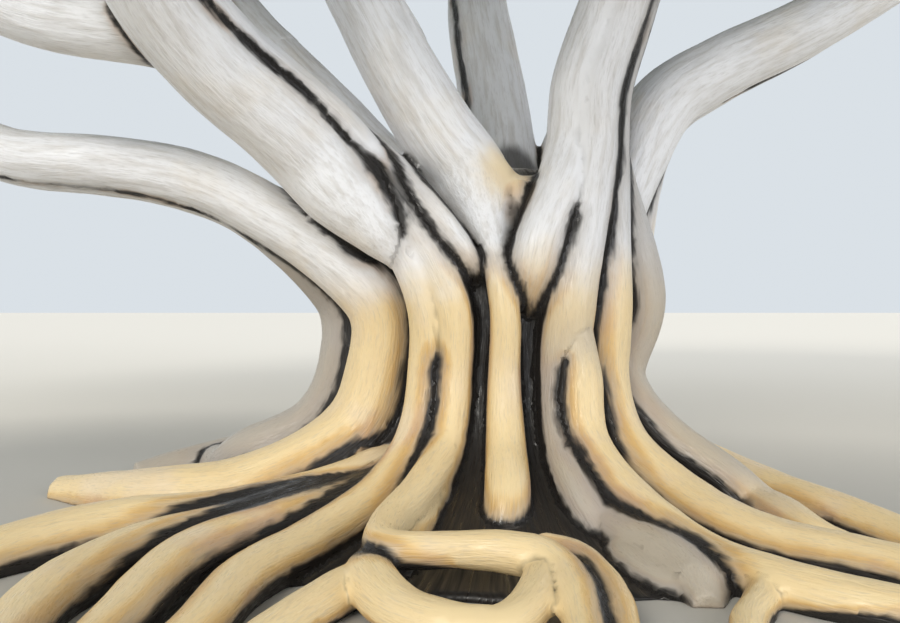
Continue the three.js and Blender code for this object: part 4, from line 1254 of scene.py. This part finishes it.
random = np.random.default_rng(CROWN_SEED)
branch_lines, shoot_lines, twig_lines, twig_ways = [], [], [], []
for mass in MASSES:
    hub = hub_of(mass)
    ways = spread(BRANCHES)
    ways[:, 2] = np.maximum(ways[:, 2], LOWEST_BRANCH)
    ends = point_in(mass, ways, np.full(BRANCHES, BRANCH_REACH))
    knees = mix(hub, ends, BRANCH_KNEE) + Z_WAY * BRANCH_LIFT * mass["half"][2]
    branches = bowed(np.repeat(hub[None], BRANCHES, 0), knees, ends, BRANCH_STEPS)
    branch_lines.append(branches)

    ways = spread(SHOOTS)
    reach = random.uniform(*SHOOT_REACH, SHOOTS)
    ends = point_in(mass, ways, reach)
    spots = branches[:, 2:].reshape(-1, 3)
    inner = point_in(mass, ways, reach * SHOOT_START)
    near = np.linalg.norm(inner[:, None] - spots[None], axis=2).argmin(1)
    starts = spots[near]
    knees = mix(starts, ends, 0.5) + unit(ends - mass["middle"]) * SHOOT_BOW
    good = in_space(mass, point_in(mass, ways, reach * SHOOT_ROOM))
    shoots = bowed(starts, knees, ends, SHOOT_STEPS)[good]
    shoot_lines.append(shoots)

    count = len(shoots)
    stray = random.normal(0, TWIG_SPREAD, (count, TWIGS, 3))
    places = unit(ways[good][:, None] + stray)
    reach = random.uniform(*TWIG_REACH, (count, TWIGS)) * (1 - LEAF_ROOM)
    ends = point_in(mass, places.reshape(-1, 3), reach.ravel())
    leave = random.uniform(*TWIG_START, (count, TWIGS))
    last = leave[..., None] * shoots[:, None, -1] + (1 - leave[..., None]) * shoots[:, None, -2]
    starts = last.reshape(-1, 3)
    outward = unit(ends - mass["middle"])
    knees = mix(starts, ends, TWIG_KNEE) + outward * TWIG_BOW
    good = in_space(mass, ends) & in_space(mass, ends + outward * SPRAY_ROOM)
    twig_lines.append(bowed(starts, knees, ends, TWIG_STEPS)[good])
    twig_ways.append(unit(ends - starts + outward * TWIG_LIFT)[good])

branch_lines, shoot_lines = np.concatenate(branch_lines), np.concatenate(shoot_lines)
twig_lines, twig_ways = np.concatenate(twig_lines), np.concatenate(twig_ways)
twigs = make_object("branches_and_twigs", *joined([
    many_tubes(branch_lines, BRANCH_RADIUS, 5),
    many_tubes(shoot_lines, SHOOT_RADIUS, 3),
    many_tubes(twig_lines, TWIG_RADIUS, 3)]))
twigs.data.shade_smooth()

TWIG_PATCH, TWIG_PORE = 0.03, 0.006  # metres, of the patches and the pores on young bark


def mottled(name, colours, patch, roughness, relief, depth):
    """Two colours in soft patches, a roughness that follows them, and a fine relief."""
    material, tree, shader = new_material(name)
    place = add_node(tree, "TexCoord", {}, {}).outputs["Object"]
    share, height = (
        add_node(tree, "TexNoise", {}, {"Vector": place, "Scale": 1 / size, "Detail": fine}).outputs["Fac"]
        for size, fine in ((patch, 3.0), (relief, 2.0)))
    low, high = map(linear, colours)
    rough = add_node(tree, "MapRange", {}, {0: share, 3: roughness[0], 4: roughness[1]}).outputs[0]
    colour = layered(tree, low, (share, 0.35, 0.65, 1.0, high))
    link_surface(tree, shader, colour, rough, height, depth, 0.6)
    return material


twigs.data.materials.append(mottled("fig twig bark", ("#857866", "#695d4c"), TWIG_PATCH, (0.7, 0.85),
                                    TWIG_PORE, 0.002))
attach(twigs, "root")


# The leaves: leathery oval blades, folded a little along the midrib, a dozen to a twig,
# set in a spiral. They are larger than life, as each stands for two or three. The sprays
# are dealt out to five colours, from old deep green leaves to young yellow-green ones.
LEAF_LENGTH = 0.27
LEAF_WIDTH = 0.15
LEAF_FOLD = 0.12  # how far the sides are raised, as a share of the width
LEAF_DROOP = 0.12  # how far the tip hangs, as a share of the length
LEAF_SIZES, SPRAY_SIZES = (0.8, 1.15), (0.85, 1.15)
LEAF_STALK = 0.03
LEAF_RISE = (5, 62)  # degrees, of the lowest leaf of a spray and the highest
TURN_STRAY, RISE_STRAY = 0.3, 14  # radians round the twig, degrees up or down
LEAF_TILT = 0.5  # radians either way
LEAVES = 12  # per spray
SPRAY_LENGTH = 0.42
SPRAY_BEHIND = 0.55  # share of it that lies behind the twig's tip
SPRAY_KINDS = 8
LEAF_COLOURS = [("deep", ("#35582a", "#2e4f27"), 0.3), ("mid", ("#47702f", "#3f672c"), 0.3),
                ("olive", ("#5b7436", "#526a31"), 0.18), ("fresh", ("#6d8f3b", "#638436"), 0.14),
                ("young", ("#8ba548", "#7f9a42"), 0.08)]
LEAF_PATCH, LEAF_VEIN = 0.05, 0.008  # metres, of a leaf's mottling and of its vein mesh
LEAF_OUTLINE = np.array([(0, 0, 0), (0.32, 0.42, 0), (0.68, 0.5, 0), (1, 0, 0),
                         (0.68, -0.5, 0), (0.32, -0.42, 0)])
LEAF_FACES = np.array([(0, 2, 1), (0, 3, 2), (0, 4, 3), (0, 5, 4)])


def leaf_blade(size):
    """One leaf along +X with its upper side up."""
    along, across, _ = LEAF_OUTLINE.T
    height = np.abs(across) * LEAF_FOLD * 2 * LEAF_WIDTH - along ** 2 * LEAF_DROOP * LEAF_LENGTH
    return np.column_stack([along * LEAF_LENGTH, across * LEAF_WIDTH, height]) * size


def leaf_spray(random):
    """A dozen leaves in a spiral along +Z."""
    parts = []
    for i in range(LEAVES):
        share = (i + 0.5) / LEAVES
        turn = i * GOLDEN + random.uniform(-TURN_STRAY, TURN_STRAY)
        rise = math.radians(mix(*LEAF_RISE, share) + random.uniform(-RISE_STRAY, RISE_STRAY))
        out = np.array([math.cos(turn), math.sin(turn), 0])
        along = out * math.cos(rise) + Z_WAY * math.sin(rise)
        across = np.cross(Z_WAY, out)
        up = np.cross(along, across)
        tilt = random.uniform(-LEAF_TILT, LEAF_TILT)
        sine, cosine = math.sin(tilt), math.cos(tilt)
        across, up = across * cosine + up * sine, up * cosine - across * sine
        blade = leaf_blade(random.uniform(*LEAF_SIZES)) + [LEAF_STALK, 0, 0]
        root = Z_WAY * (share - SPRAY_BEHIND) * SPRAY_LENGTH
        parts.append(root + blade @ np.array([along, across, up]))
    return np.vstack(parts)


sprays = np.array([leaf_spray(random) for _ in range(SPRAY_KINDS)])
count = len(twig_lines)
kind = random.integers(0, SPRAY_KINDS, count)
random.random(count)  # not used, but the draws after it keep their values
first = unit(np.cross(twig_ways, random.normal(0, 1, (count, 3))))
second = np.cross(twig_ways, first)
sizes = random.uniform(*SPRAY_SIZES, count)
turned = np.stack([first, second, twig_ways], axis=1) * sizes[:, None, None]
leaves = sprays[kind] @ turned + twig_lines[:, -1][:, None]
colour = random.choice(len(LEAF_COLOURS), count, p=[share for _, _, share in LEAF_COLOURS])
spray_faces = (LEAF_FACES[None] + np.arange(LEAVES)[:, None, None] * len(LEAF_OUTLINE)).reshape(-1, 3)
for number, (name, greens, _) in enumerate(LEAF_COLOURS):
    piece = make_object(f"leaves_{name}", *copies_of(leaves[colour == number], spray_faces))
    piece.data.materials.append(mottled(f"leathery leaf, {name} green", greens, LEAF_PATCH, (0.36, 0.5),
                                        LEAF_VEIN, 0.001))
    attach(piece, "root")
    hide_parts(*(mass["name"] for mass in MASSES))
